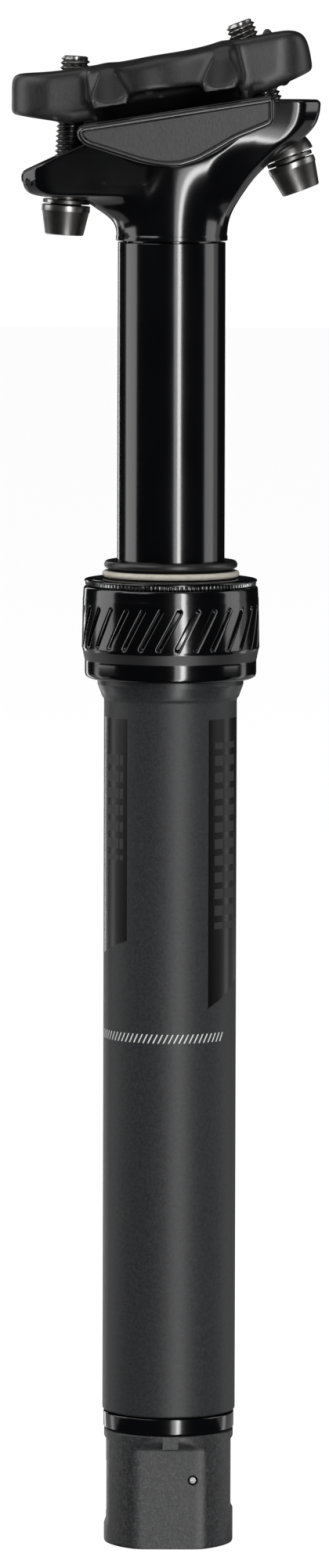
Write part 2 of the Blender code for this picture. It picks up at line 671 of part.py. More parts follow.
# centre X of each lobe, its half length on top and at the foot, and the foot's height
LOBES = ((-11.3, 6.2, 3.1, 295.0), (9.6, 5.6, 2.5, 298.2))


def make_upper_clamp():
    """Upper yoke: a spine between the bolts and two lobes on each rail."""
    outline = [
        (28.9, 301.8), (25.5, 300.5), (19.2, 297.3), (15.3, 296.9), (13.4, 295.4), (-14.0, 291.0),
        (-18.0, 291.3), (-21.0, 291.0), (-31.2, 292.5), (-32.3, 293.7), (-32.7, 295.0),
        (-32.7, 298.9), (-32.1, 300.3),
    ]
    clamp = finish("upper_clamp", prism_y(outline + list(UPPER_CLAMP_TOP), -11.0, 11.0), BLACK_SATIN)
    plan = []
    for centre, side in ((22.0, 0), (-25.5, 180)):
        for x, y in arc((0, 0), 1.0, side - 90, side + 90, 12):
            plan.append((centre + 8.5 * x, 10.8 * y))
    boolean(clamp, "clamp_plan", prism_z(plan, 280, 320), "INTERSECT")
    for side, row in ((-1, "left"), (1, "right")):
        deck = []
        for y, inset in ((8.0, 0.0), (15.5, 0.0), (18.6, 1.2)):
            for x, z in ((-16.5, 297.0), (14.2, 300.2), (14.8, 306.9), (-17.4, 301.4)):
                rim = inset if z > 300.5 else 0.0
                deck.append((x, side * y, z - rim))
        boolean(clamp, f"{row}_deck", hull(deck), "UNION")
        for index, (centre, top_half, foot_half, foot) in enumerate(LOBES):
            lobe = []
            for half, y, low, high in (
                (top_half, 14.0, 3.0, 7.0),
                (top_half - 0.4, 20.0, 3.4, 5.9),
                (foot_half + 1.4, 24.6, 1.4, 4.2),
                (foot_half, 26.6, 0.0, 1.7),
                (foot_half, 17.4, 0.0, 1.7),
            ):
                for end in (-half, half):
                    rise = end * math.tan(RAIL_TILT)
                    lobe.append((centre + end, side * y, foot + low + rise))
                    lobe.append((centre + end, side * y, foot + high + rise))
            boolean(clamp, f"{row}_lobe_{index + 1}", hull(lobe), "UNION")
    cut_rails(clamp, "upper")
    for name, start, lean, height in NUTS:
        centre = along(start, lean, height)
        pocket = rod_y(NUT_RADIUS + GAP, (0, 0), -NUT_HALF_LENGTH - GAP, 16, ROUND_SMALL + 4)
        boolean(clamp, f"{name}_pocket", pocket, origin=centre, turn=lean)
        slot = turned([(0, 14), (4.1, 14), (4.1, -14), (0, -14)], ROUND_SMALL)
        bmesh.ops.scale(slot, vec=(1.15, 0.9, 1), verts=slot.verts)
        boolean(clamp, f"{name}_slot", slot, origin=centre, turn=lean)


def main():
    for item in list(bpy.data.objects):
        bpy.data.objects.remove(item)
    make_outer_tube()
    make_bushings()
    make_collar()
    make_collar_cap()
    make_wiper()
    make_stanchion()
    make_cartridge()
    make_foot()
    make_housing()
    make_lever()
    make_head()
    make_bolts()
    make_nuts()
    make_lower_clamp()
    make_upper_clamp()


main()
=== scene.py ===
"""Dropper seatpost: studio, finishes, and the finely shaped pieces that stand for the CAD nodes.

Sizes are millimetres and degrees until a mesh is made. +Z is up the post, +X the rear of the clamp,
and the camera stands on the -Y side.
"""
import math

import bmesh
import bpy
import numpy as np
from mathutils import Matrix, Vector


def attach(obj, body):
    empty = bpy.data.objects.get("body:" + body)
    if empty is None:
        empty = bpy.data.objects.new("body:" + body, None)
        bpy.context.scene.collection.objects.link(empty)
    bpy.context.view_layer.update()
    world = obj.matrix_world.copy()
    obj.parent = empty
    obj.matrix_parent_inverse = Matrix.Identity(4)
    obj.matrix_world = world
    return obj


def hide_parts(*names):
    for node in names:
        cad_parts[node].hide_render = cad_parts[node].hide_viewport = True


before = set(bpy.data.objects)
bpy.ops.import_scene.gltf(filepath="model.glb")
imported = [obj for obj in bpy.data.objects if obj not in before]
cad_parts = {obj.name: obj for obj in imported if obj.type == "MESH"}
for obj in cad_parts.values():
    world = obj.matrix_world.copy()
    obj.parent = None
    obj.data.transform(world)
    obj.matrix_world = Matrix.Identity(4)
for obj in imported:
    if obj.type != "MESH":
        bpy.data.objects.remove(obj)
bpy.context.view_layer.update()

MM = 0.001
RAIL_TILT = math.radians(9.1)
RAIL_HEIGHT = 295.2
FRONT_LEAN = math.radians(3.6)
REAR_LEAN = math.radians(-20.6)
FRONT_SEAT = (-21.53, 0.0, 275.585)
REAR_SEAT = (23.76, 0.0, 284.32)
FRONT_NUT = (-20.217, 0.0, 296.444)
REAR_NUT = (16.76, 0.0, 302.948)
RAIL_SIDE = 22.0
RAIL_CHANNEL = 3.6
TUBE_RADIUS = 13.6
TUBE_BORE = 12.0
STANCHION_RADIUS = 11.0


# ---------------------------------------------------------------- nodes


class Wire:
    """An output of a node. Arithmetic on it adds Math nodes to the same tree."""

    def __init__(self, bench, output):
        self.bench = bench
        self.output = output

    def math(self, operation, *values):
        return self.bench.add("ShaderNodeMath", {"operation": operation}, dict(enumerate(values)))

    def __add__(self, other):
        return self.math("ADD", self, other)

    def __sub__(self, other):
        return self.math("SUBTRACT", self, other)

    def __rsub__(self, other):
        return self.math("SUBTRACT", other, self)

    def __mul__(self, other):
        return self.math("MULTIPLY", self, other)

    def __truediv__(self, other):
        return self.math("DIVIDE", self, other)

    def __pow__(self, other):
        return self.math("POWER", self, other)

    def __abs__(self):
        return self.math("ABSOLUTE", self)

    __radd__ = __add__
    __rmul__ = __mul__

    def over(self, other, blend=0.0):
        """The larger value, with the crease rounded over a distance."""
        if blend:
            return self.math("SMOOTH_MAX", self, other, blend)
        return self.math("MAXIMUM", self, other)

    def under(self, other, blend=0.0):
        """The smaller value, with the crease rounded over a distance."""
        if blend:
            return self.math("SMOOTH_MIN", self, other, blend)
        return self.math("MINIMUM", self, other)

    def rise(self, start, end):
        """0 at start and 1 at end, smooth between."""
        return self.bench.add(
            "ShaderNodeMapRange", {"interpolation_type": "SMOOTHSTEP"},
            {"Value": self, "From Min": start, "From Max": end},
        )

    def band(self, start, end, soft):
        """1 between start and end, with soft edges."""
        return self.rise(start - soft, start + soft) * (1 - self.rise(end - soft, end + soft))

    def fraction(self):
        return self.math("FRACT", self)

class Bench:
    """Adds and joins nodes in one tree."""

    def __init__(self, tree):
        self.tree = tree

    def add(self, kind, settings=None, sockets=None, output=0):
        node = self.tree.nodes.new(kind)
        for key, value in (settings or {}).items():
            if key == "points":
                self.set_points(node.mapping, value)
            else:
                setattr(node, key, value)
        for key, value in (sockets or {}).items():
            if isinstance(value, Wire):
                self.tree.links.new(value.output, node.inputs[key])
            else:
                node.inputs[key].default_value = value
        return Wire(self, node.outputs[output]) if node.outputs else node

    def set_points(self, mapping, points):
        curve = mapping.curves[0].points
        while len(curve) < len(points):
            curve.new(0.5, 0.5)
        for knot, (across, up) in zip(curve, points):
            knot.location = (across, up)
        mapping.update()

    def line(self, value, points):
        """Height of a smooth line through (value, height) points."""
        start, end = points[0][0], points[-1][0]
        heights = [up for _, up in points]
        low, high = min(heights), max(heights)
        knots = [((across - start) / (end - start), (up - low) / (high - low)) for across, up in points]
        share = (value - start) / (end - start)
        return self.add("ShaderNodeFloatCurve", {"points": knots}, {"Value": share}) * (high - low) + low

    def place(self):
        """X, Y and Z of a point of the piece, in millimetres."""
        if self.tree.type == "GEOMETRY":
            spot = self.add("GeometryNodeInputPosition")
        else:
            spot = self.add("ShaderNodeTexCoord", output="Object")
        parts = self.add("ShaderNodeSeparateXYZ", sockets={0: spot})
        return [Wire(self, output) * 1000 for output in parts.output.node.outputs]

    def distance(self, first, second):
        """Length of a vector with two parts."""
        return (first * first + second * second) ** 0.5

    def noise(self, stretch, scale, detail=3.0, rough=0.55):
        """Noise about 0 to 1; scale counts per millimetre, stretch shortens it along each axis."""
        spot = self.add("ShaderNodeTexCoord", output="Object")
        turned = self.add("ShaderNodeMapping", sockets={"Vector": spot, "Scale": stretch})
        sockets = {"Vector": turned, "Scale": scale / MM, "Detail": detail, "Roughness": rough}
        return self.add("ShaderNodeTexNoise", sockets=sockets)

    def tint(self, share, first, second):
        """Colour between two colours, or two colour wires."""
        sockets = {0: share}
        for key, value in ((6, first), (7, second)):
            sockets[key] = value if isinstance(value, Wire) else (*value, 1.0)
        return self.add("ShaderNodeMix", {"data_type": "RGBA"}, sockets, output=2)

    def bump(self, height, depth, strength=1.0):
        """Surface normal of a height field whose full depth is in millimetres."""
        sockets = {"Height": height, "Distance": depth * MM, "Strength": strength}
        return self.add("ShaderNodeBump", sockets=sockets)


def empty_bench(owner):
    """Bench on the emptied node tree of a material or a world."""
    owner.use_nodes = True
    owner.node_tree.nodes.clear()
    return Bench(owner.node_tree)


def finish_of(name, build):
    """Material whose Principled sockets come from build(bench)."""
    material = bpy.data.materials.new(name)
    bench = empty_bench(material)
    shader = bench.add("ShaderNodeBsdfPrincipled", sockets=build(bench))
    bench.add("ShaderNodeOutputMaterial", sockets={"Surface": shader})
    return material


# ---------------------------------------------------------------- finishes


GLOSS_IOR = 1.75
PANEL_TOP = 169.8
BLOCK_PITCH = 3.4
SHOULDER = 173.5


def columns_of(angle, *spans):
    """1 inside any of the spans of angle round the tube."""
    return sum(angle.band(start, end, 0.4) for start, end in spans)


def satin_tube(bench):
    """Fine satin anodising, with two gloss side panels that carry rows of satin blocks."""
    x, y, z = bench.place()
    angle = bench.add("ShaderNodeMath", {"operation": "ARCTAN2"}, {0: x, 1: 0 - y}) * (180 / math.pi)
    grain = bench.noise((1, 1, 1), 1.9, 3.0, 0.7)
    cloud = bench.noise((1, 1, 0.35), 0.06, 2.0)
    left_floor = 124.6 + (angle + 40) * 0.08
    left = angle.band(-128, -40, 0.25) * (z - left_floor).rise(-0.1, 0.1)
    right_floor = 110.9 + (angle - 35) * 0.116
    right = angle.band(35, 125, 0.25) * (z - right_floor).rise(-0.1, 0.1)
    panel = (left + right) * (1 - z.rise(PANEL_TOP - 0.1, PANEL_TOP + 0.1))
    row = (z / BLOCK_PITCH).fraction().band(0.16, 0.74, 0.03)
    left_rows = columns_of(angle, (-68, -51), (-49, -45), (-96, -80)) * z.band(141, 163, 0.15)
    right_rows = columns_of(angle, (42, 52), (55, 73), (84, 104)) * z.band(127, 165, 0.15)
    block = panel * row * left_rows.over(right_rows)
    gloss = panel * (1 - block)
    body = bench.tint(grain.rise(0.25, 0.75), (0.013, 0.0135, 0.0148), (0.037, 0.0382, 0.041))
    body = bench.tint(cloud * 0.35, body, (0.036, 0.0372, 0.0395))
    colour = bench.tint(panel, body, (0.0015, 0.0015, 0.002))
    colour = bench.tint(block, colour, (0.022, 0.022, 0.023))
    rough = 0.45 + grain * 0.08
    rough = rough * (1 - gloss) + gloss * 0.27 - (z - SHOULDER).rise(0.0, 1.5) * 0.17
    return {
        "Base Color": colour, "Roughness": rough, "IOR": 1.52,
        "Normal": bench.bump(grain * (1 - gloss), 0.016, 0.7),
    }


def gloss_anodised(bench):
    """Polished black anodising with hairline marks along the post."""
    hair = bench.noise((1, 1, 0.02), 1.4, 4.0, 0.7)
    haze = bench.noise((1, 1, 0.5), 0.12, 3.0)
    return {
        "Base Color": bench.tint(haze, (0.0014, 0.0015, 0.002), (0.0035, 0.0037, 0.0045)),
        "Roughness": 0.105 + haze * 0.05 + hair * 0.03, "IOR": GLOSS_IOR,
        "Normal": bench.bump(hair, 0.0012, 0.4),
    }


def forged_gloss(bench):
    """Gloss anodising over a forging, a little wavy where the die was dressed by hand."""
    wave = bench.noise((1, 1, 1), 0.10, 2.0)
    pits = bench.noise((1, 1, 1), 2.2, 3.0)
    return {
        "Base Color": bench.tint(wave, (0.0014, 0.0015, 0.002), (0.004, 0.0042, 0.005)),
        "Roughness": 0.10 + wave * 0.05 + pits * 0.03, "IOR": GLOSS_IOR,
        "Normal": bench.bump(pits, 0.004, 0.35),
    }


def collar_gloss(bench):
    """Collar anodising: polished, with the turned chamfer under the grip band left satin."""
    z = bench.place()[2]
    haze = bench.noise((1, 1, 0.5), 0.15, 3.0)
    satin = z.band(181.35, 183.35, 0.12)
    rings = bench.noise((0.02, 0.02, 1), 6.0, 2.0)
    return {
        "Base Color": bench.tint(satin, (0.0018, 0.0019, 0.0024), (0.006, 0.0062, 0.0067)),
        "Roughness": (0.11 + haze * 0.05) * (1 - satin) + satin * 0.5, "IOR": GLOSS_IOR,
        "Normal": bench.bump(rings, 0.0015, 0.4),
    }


def blasted_forging(bench):
    """Satin black anodising over bead-blasted aluminium."""
    grain = bench.noise((1, 1, 0.5), 2.2, 4.0, 0.75)
    cloud = bench.noise((1, 1, 1), 0.12, 3.0)
    pointing = bench.add("ShaderNodeNewGeometry", output="Pointiness")
    worn = pointing.rise(0.52, 0.60)
    colour = bench.tint(grain.rise(0.3, 0.7), (0.008, 0.008, 0.0083), (0.027, 0.027, 0.028))
    colour = bench.tint(cloud * 0.5, colour, (0.008, 0.008, 0.0085))
    return {
        "Base Color": bench.tint(worn * 0.6, colour, (0.14, 0.14, 0.145)),
        "Roughness": 0.36 + grain * 0.10, "IOR": 1.65,
        "Normal": bench.bump(grain, 0.032, 0.8),
    }


def rolled_rim(bench):
    """Polished rim of a satin forging."""
    haze = bench.noise((1, 1, 1), 0.5, 3.0)
    return {
        "Base Color": bench.tint(haze, (0.006, 0.006, 0.0065), (0.012, 0.012, 0.0125)),
        "Roughness": 0.16 + haze * 0.08, "IOR": 1.9,
        "Normal": bench.bump(haze, 0.01, 0.3),
    }


def rubbed_teeth(bench):
    """Fine teeth coloured bright metal in patches: a painted highlight for the lights' glints on the teeth."""
    # Painted highlight: the patches of bright metal colour stand in for glints of the lights, not for
    # rubbed-through finish.
    worn = bench.noise((1, 1, 1), 0.9, 3.0)
    return {
        "Base Color": bench.tint(worn.rise(0.3, 0.7), (0.05, 0.05, 0.052), (0.34, 0.34, 0.34)),
        "Roughness": 0.26 + worn * 0.1, "Metallic": 1.0,
    }


def milled_foot(bench):
    """Bare milled strip on a forging, darkened again by the anodising."""
    lines = bench.noise((1, 1, 0.15), 2.6, 3.0)
    return {
        "Base Color": bench.tint(lines.rise(0.35, 0.65), (0.040, 0.042, 0.042), (0.130, 0.135, 0.133)),
        "Roughness": 0.34 + lines * 0.1, "IOR": 1.8, "Normal": bench.bump(lines, 0.03, 0.6),
    }


def bolt_steel(bench):
    """Blackened bolt steel, rubbed bright on the crests and scratched along the bolt."""
    scratch = bench.noise((1, 1, 0.05), 1.8, 4.0, 0.7)
    cloud = bench.noise((1, 1, 1), 0.35, 3.0)
    worn = bench.add("ShaderNodeNewGeometry", output="Pointiness").rise(0.51, 0.58)
    rubbed = worn.over((cloud - 0.1).rise(0.38, 0.62) * scratch.rise(0.45, 0.75) * 0.6)
    return {
        "Base Color": bench.tint(rubbed, (0.15, 0.146, 0.142), (0.50, 0.50, 0.49)),
        "Roughness": 0.34 - rubbed * 0.1 + scratch * 0.08, "Metallic": 1.0,
        "Normal": bench.bump(scratch, 0.004, 0.5),
    }


def ground_steel(bench):
    """Bright ground steel."""
    lines = bench.noise((0.05, 1, 1), 3.0, 3.0)
    return {
        "Base Color": bench.tint(lines, (0.42, 0.42, 0.43), (0.66, 0.66, 0.67)),
        "Roughness": 0.22 + lines * 0.12, "Metallic": 1.0, "Normal": bench.bump(lines, 0.002, 0.4),
    }


def turned_alloy(bench):
    """Machined aluminium with fine tool rings."""
    rings = bench.noise((0.03, 0.03, 1), 4.0, 2.0)
    return {
        "Base Color": bench.tint(rings, (0.50, 0.51, 0.53), (0.68, 0.69, 0.70)),
        "Roughness": 0.28 + rings * 0.12, "Metallic": 1.0, "Normal": bench.bump(rings, 0.003, 0.5),
    }


def key_brass(bench):
    """Drawn brass."""
    lines = bench.noise((1, 1, 0.1), 3.0, 3.0)
    return {
        "Base Color": bench.tint(lines, (0.58, 0.38, 0.14), (0.76, 0.54, 0.23)),
        "Roughness": 0.28 + lines * 0.1, "Metallic": 1.0,
    }


def bush_polymer(bench):
    """Off-white bearing polymer."""
    cloud = bench.noise((1, 1, 1), 0.8, 3.0)
    colour = bench.tint(cloud, (0.50, 0.48, 0.40), (0.64, 0.61, 0.53))
    return {"Base Color": colour, "Roughness": 0.42 + cloud * 0.1}


def housing_plastic(bench):
    """Fibre-filled nylon: dark, finely speckled and lightly textured."""
    grain = bench.noise((1, 1, 1), 2.3, 4.0, 0.75)
    fibre = bench.noise((1, 0.4, 1), 1.2, 3.0, 0.6)
    speck = grain.rise(0.48, 0.70)
    colour = bench.tint(fibre.rise(0.3, 0.7), (0.014, 0.0143, 0.0153), (0.034, 0.0347, 0.0368))
    return {
        "Base Color": bench.tint(speck * 0.55, colour, (0.12, 0.122, 0.127)),
        "Roughness": 0.36 + grain * 0.14, "IOR": 1.6,
        "Normal": bench.bump(grain + fibre * 0.5, 0.06, 0.8),
    }


def seal_rubber(bench):
    """Moulded seal rubber."""
    cloud = bench.noise((1, 1, 1), 0.6, 3.0)
    return {
        "Base Color": bench.tint(cloud, (0.010, 0.010, 0.0105), (0.020, 0.020, 0.021)),
        "Roughness": 0.30 + cloud * 0.12, "IOR": 1.6, "Normal": bench.bump(cloud, 0.01, 0.3),
    }


def cream_ring(bench):
    """Cream elastomer ring, slightly dusty."""
    dust = bench.noise((1, 1, 2), 0.9, 4.0)
    return {
        "Base Color": bench.tint(dust.rise(0.3, 0.75), (0.86, 0.80, 0.70), (0.70, 0.65, 0.56)),
        "Roughness": 0.42 + dust * 0.15, "Normal": bench.bump(dust, 0.01, 0.4),
    }


def white_print(bench):
    """White screen print, a little thin in places."""
    thin = bench.noise((1, 1, 1), 1.5, 3.0)
    colour = bench.tint(thin.rise(0.4, 0.8), (0.88, 0.88, 0.87), (0.70, 0.70, 0.70))
    return {"Base Color": colour, "Roughness": 0.45}


def floor_paper(bench):
    """White studio paper that glows enough to stay white."""
    fibre = bench.noise((1, 1, 1), 0.3, 3.0)
    return {
        "Base Color": bench.tint(fibre, (0.34, 0.34, 0.34), (0.38, 0.38, 0.38)), "Roughness": 0.8,
        "Emission Color": (1, 1, 1, 1), "Emission Strength": 0.97,
    }


FINISHES = {
    "tube_satin": satin_tube,
    "gloss_black": gloss_anodised,
    "forged_gloss": forged_gloss,
    "collar_gloss": collar_gloss,
    "forged_black": blasted_forging,
    "rolled_rim": rolled_rim,
    "milled_foot": milled_foot,
    "rubbed_teeth": rubbed_teeth,
    "dark_steel": bolt_steel,
    "bright_steel": ground_steel,
    "bare_alloy": turned_alloy,
    "key_brass": key_brass,
    "bush_polymer": bush_polymer,
    "housing_plastic": housing_plastic,
    "seal_rubber": seal_rubber,
    "cream_ring": cream_ring,
    "white_print": white_print,
    "floor_paper": floor_paper,
}
finishes = {name: finish_of(name, build) for name, build in FINISHES.items()}


# ---------------------------------------------------------------- meshes


def rounded_min(first, second, blend):
    """The smaller of two values, with the crease between them rounded."""
    share = max(blend - abs(first - second), 0.0) / blend
    return min(first, second) - share * share * blend / 4


def rounded_max(first, second, blend):
    """The larger of two values, with the crease between them rounded."""
    return -rounded_min(-first, -second, blend)


def clamped(share):
    """A share held between 0 and 1."""
    return min(1.0, max(0.0, share))


def eased(share):
    """A share held between 0 and 1, starting and stopping gently."""
    share = clamped(share)
    return share * share * (3 - 2 * share)


def bend(first, corner, last, share):
    """Point on the curve from first to last that a corner pulls towards itself."""
    return tuple((1 - share) ** 2 * first + 2 * share * (1 - share) * corner + share ** 2 * last)


def softened(points, radius, steps=4):
    """Closed outline with each corner rounded off, as far as its edges allow."""
    rounded = []
    points = [np.array(point, float) for point in points]
    for index, corner in enumerate(points):
        before = points[index - 1] - corner
        after = points[(index + 1) % len(points)] - corner
        if corner[0] == 0:
            rounded.append(tuple(corner))
            continue
        reach = min(radius, 0.45 * np.linalg.norm(before), 0.45 * np.linalg.norm(after))
        first = corner + before / np.linalg.norm(before) * reach
        last = corner + after / np.linalg.norm(after) * reach
        rounded += [bend(first, corner, last, step / steps) for step in range(steps + 1)]
    return rounded


def placed(name, data):
    """Object of a mesh, light or camera, linked to the scene."""
    thing = bpy.data.objects.new(name, data)
    bpy.context.scene.collection.objects.link(thing)
    return thing


def raw_mesh(name, vertices, faces):
    """Mesh of points in millimetres."""
    mesh = bpy.data.meshes.new(name)
    mesh.from_pydata([Vector(vertex) * MM for vertex in vertices], [], faces)
    return mesh


def quads(rows, columns, close_rows=False, close_columns=False):
    """Faces of a grid whose points are counted row by row."""
    faces = []
    for row in range(rows if close_rows else rows - 1):
        here, below = row * columns, (row + 1) % rows * columns
        for column in range(columns if close_columns else columns - 1):
            beside = (column + 1) % columns
            faces.append((here + column, here + beside, below + beside, below + column))
    return faces


def face_outwards(mesh):
    """Merge a mesh's doubled points and turn its faces outwards."""
    bm = bmesh.new()
    bm.from_mesh(mesh)
    bmesh.ops.remove_doubles(bm, verts=bm.verts, dist=1e-7)
    bmesh.ops.recalc_face_normals(bm, faces=bm.faces)
    bm.to_mesh(mesh)
    bm.free()


def smooth(piece, sharp):
    """Smooth shading between a piece's sharp edges."""
    piece.data.shade_smooth()
    piece.data.set_sharp_from_angle(angle=math.radians(sharp))


def mesh_of(name, vertices, faces, finish, sharp=30):
    """Object of a closed millimetre mesh, smooth but for its sharp edges."""
    piece = placed(name, raw_mesh(name, vertices, faces))
    face_outwards(piece.data)
    shade(piece, finish, sharp)
    return piece


def shade(piece, finish, sharp=30):
    """Give a piece its finish, and smooth shading between its sharp edges."""
    piece.data.materials.clear()
    piece.data.materials.append(finishes[finish])
    smooth(piece, sharp)


def turned(name, profile, finish, segments=192, sharp=30):
    """Body turned about Z from a closed outline of (radius, height) points."""
    vertices = []
    for radius, height in profile:
        for step in range(segments):
            angle = 2 * math.pi * step / segments
            vertices.append((radius * math.cos(angle), radius * math.sin(angle), height))
    faces = quads(len(profile), segments, close_rows=True, close_columns=True)
    return mesh_of(name, vertices, faces, finish, sharp)


def prism(name, outline, low, high, finish="forged_black", axis="Y"):
    """Body between two planes across Y or X, from an (x, z) or (y, z) outline."""
    vertices = []
    for level in (low, high):
        for first, height in outline:
            vertices.append((first, level, height) if axis == "Y" else (level, first, height))
    count = len(outline)
    ends = [tuple(range(count)), tuple(range(2 * count - 1, count - 1, -1))]
    return mesh_of(name, vertices, ends + quads(2, count, close_columns=True), finish)


def arc(centre, radius, first, last, steps):
    """Points on a circle between two angles."""
    points = []
    for step in range(steps + 1):
        angle = math.radians(first + (last - first) * step / steps)
        points.append((centre[0] + radius * math.cos(angle), centre[1] + radius * math.sin(angle)))
    return points


def move(piece, spot, lean=0.0, about="Y"):
    """Place a piece that was drawn about the origin, inside its own mesh."""
    piece.data.transform(Matrix.Translation(Vector(spot) * MM) @ Matrix.Rotation(lean, 4, about))
    return piece


def bake_modifiers(piece):
    """Turn a piece's modifiers into plain mesh."""
    graph = bpy.context.evaluated_depsgraph_get()
    mesh = bpy.data.meshes.new_from_object(piece.evaluated_get(graph), depsgraph=graph)
    piece.modifiers.clear()
    piece.data = mesh


def carve(piece, *tools, operation="DIFFERENCE", sharp=30):
    """Cut tools out of a piece, or join them to it, and drop the tools."""
    for tool in tools:
        modifier = piece.modifiers.new(tool.name, "BOOLEAN")
        modifier.operation = operation
        modifier.object = tool
    bake_modifiers(piece)
    for tool in tools:
        bpy.data.objects.remove(tool)
    smooth(piece, sharp)


def geometry_bench(name, inputs):
    """Empty geometry tree with named number inputs after its Geometry input."""
    tree = bpy.data.node_groups.new(name, "GeometryNodeTree")
    tree.interface.new_socket("Geometry", in_out="INPUT", socket_type="NodeSocketGeometry")
    for label, kind in inputs:
        tree.interface.new_socket(label, in_out="INPUT", socket_type=kind)
    tree.interface.new_socket("Geometry", in_out="OUTPUT", socket_type="NodeSocketGeometry")
    return Bench(tree)


def given(bench, label):
    """One named input of a geometry tree."""
    return bench.add("NodeGroupInput", output=label)


def finish_tree(bench, geometry, join=None):
    """End a geometry tree: real mesh, joined where points meet, in its finish."""
    geometry = bench.add("GeometryNodeRealizeInstances", sockets={0: geometry})
    if join:
        sockets = {"Geometry": geometry, "Distance": join * MM}
        geometry = bench.add("GeometryNodeMergeByDistance", sockets=sockets)
    sockets = {"Geometry": geometry, "Material": given(bench, "Finish")}
    bench.add("NodeGroupOutput", sockets={"Geometry": bench.add("GeometryNodeSetMaterial", sockets=sockets)})


def grow(piece, bench, values):
    """Run a geometry tree on a piece with named values, and keep the plain mesh."""
    modifier = piece.modifiers.new(bench.tree.name, "NODES")
    modifier.node_group = bench.tree
    for item in bench.tree.interface.items_tree:
        if item.in_out == "INPUT" and item.name in values:
            modifier[item.identifier] = values[item.name]
    bake_modifiers(piece)
    return piece


def ring_tree():
    """Copies of the incoming patch around the post."""
    bench = geometry_bench("ring_of_copies", (
        ("Count", "NodeSocketInt"), ("Start", "NodeSocketFloat"), ("Step", "NodeSocketFloat"),
        ("Finish", "NodeSocketMaterial"),
    ))
    places = bench.add("GeometryNodeMeshLine", sockets={"Count": given(bench, "Count"), "Offset": (0, 0, 0)})
    turn = given(bench, "Start") + bench.add("GeometryNodeInputIndex") * given(bench, "Step")
    around = bench.add("ShaderNodeCombineXYZ", sockets={"Z": turn * (math.pi / 180)})
    copies = bench.add("GeometryNodeInstanceOnPoints", sockets={
        "Points": places, "Instance": given(bench, "Geometry"), "Rotation": around,
    })
    finish_tree(bench, copies, join=0.004)
    return bench


def thread_tree():
    """Cuts a screw thread into the shank of a body turned about Z."""
    bench = geometry_bench("screw_thread", (
        ("Pitch", "NodeSocketFloat"), ("Depth", "NodeSocketFloat"), ("Bottom", "NodeSocketFloat"),
        ("Top", "NodeSocketFloat"), ("Finish", "NodeSocketMaterial"),
    ))
    x, y, z = bench.place()
    radius = bench.distance(x, y)
    turn = bench.add("ShaderNodeMath", {"operation": "ARCTAN2"}, {0: y, 1: x}) / (2 * math.pi)
    phase = (z / given(bench, "Pitch") - turn + 10).fraction()
    groove = (0.88 - abs(phase - 0.5) * 2).over(0.0, 0.12).under(0.76, 0.12) / 0.76
    reach = (z - given(bench, "Bottom")).rise(0.0, 0.8) * (given(bench, "Top") - z).rise(0.0, 0.8)
    shrink = 0 - groove * reach * radius.rise(2.4, 2.8) * given(bench, "Depth") / radius
    shift = bench.add("ShaderNodeCombineXYZ", sockets={"X": x * shrink * MM, "Y": y * shrink * MM})
    cut = bench.add("GeometryNodeSetPosition", sockets={"Geometry": given(bench, "Geometry"), "Offset": shift})
    finish_tree(bench, cut)
    return bench


def sculpt(name, field, low, high, voxel, finish):
    """Mesh of the space where field(bench) is below zero, in millimetres."""
    bench = geometry_bench(name, (
        ("Low", "NodeSocketVector"), ("High", "NodeSocketVector"), ("Finish", "NodeSocketMaterial"),
    ))
    sockets = {"Density": 0.5 - field(bench) * 0.5, "Background": 0.0}
    sockets["Min"], sockets["Max"] = given(bench, "Low"), given(bench, "High")
    for axis, start, end in zip("XYZ", low, high):
        sockets[f"Resolution {axis}"] = int(round((end - start) / voxel)) + 1
    volume = bench.add("GeometryNodeVolumeCube", sockets=sockets)
    skin = bench.add("GeometryNodeVolumeToMesh", sockets={"Volume": volume, "Threshold": 0.5})
    finish_tree(bench, skin)
    piece = placed(name, bpy.data.meshes.new(name))
    corners = {"Low": [value * MM for value in low], "High": [value * MM for value in high]}
    grow(piece, bench, {**corners, "Finish": finishes[finish]})
    piece.data.shade_smooth()
    return piece


def fit(piece, body, slot, *nodes):
    """Let a finished piece ride on its body in place of the CAD nodes it stands for."""
    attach(piece, body)
    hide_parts(*nodes)


# ---------------------------------------------------------------- studio


def make_camera():
    """Long lens level with the clamp, tipped down a little, with the rest of the drop taken by shift."""
    data = bpy.data.cameras.new("studio_camera")
    data.sensor_width = 36
    data.lens = 205.155
    data.shift_y = -0.2795
    data.clip_start = 0.1
    data.clip_end = 30
    spot, pitch, roll = (-1.42, -1822.9, 325.08), 2.5, 0.16
    facing = Matrix.Rotation(math.radians(90 - pitch), 4, "X") @ Matrix.Rotation(math.radians(roll), 4, "Z")
    camera = placed("studio_camera", data)
    camera.matrix_world = Matrix.Translation(Vector(spot) * MM) @ facing
    bpy.context.scene.camera = camera


def softbox(name, bearing, distance, height, width, tall, watts, tilt=0.0):
    """Rectangular light that faces the post from a bearing right of the camera."""
    data = bpy.data.lights.new(name, "AREA")
    data.shape = "RECTANGLE"
    data.size = width * MM
    data.size_y = tall * MM
    data.energy = watts
    angle = math.radians(bearing)
    spot = Vector((math.sin(angle) * distance, -math.cos(angle) * distance, height)) * MM
    facing = Matrix.Rotation(angle, 4, "Z") @ Matrix.Rotation(math.radians(90 + tilt), 4, "X")
    placed(name, data).matrix_world = Matrix.Translation(spot) @ facing


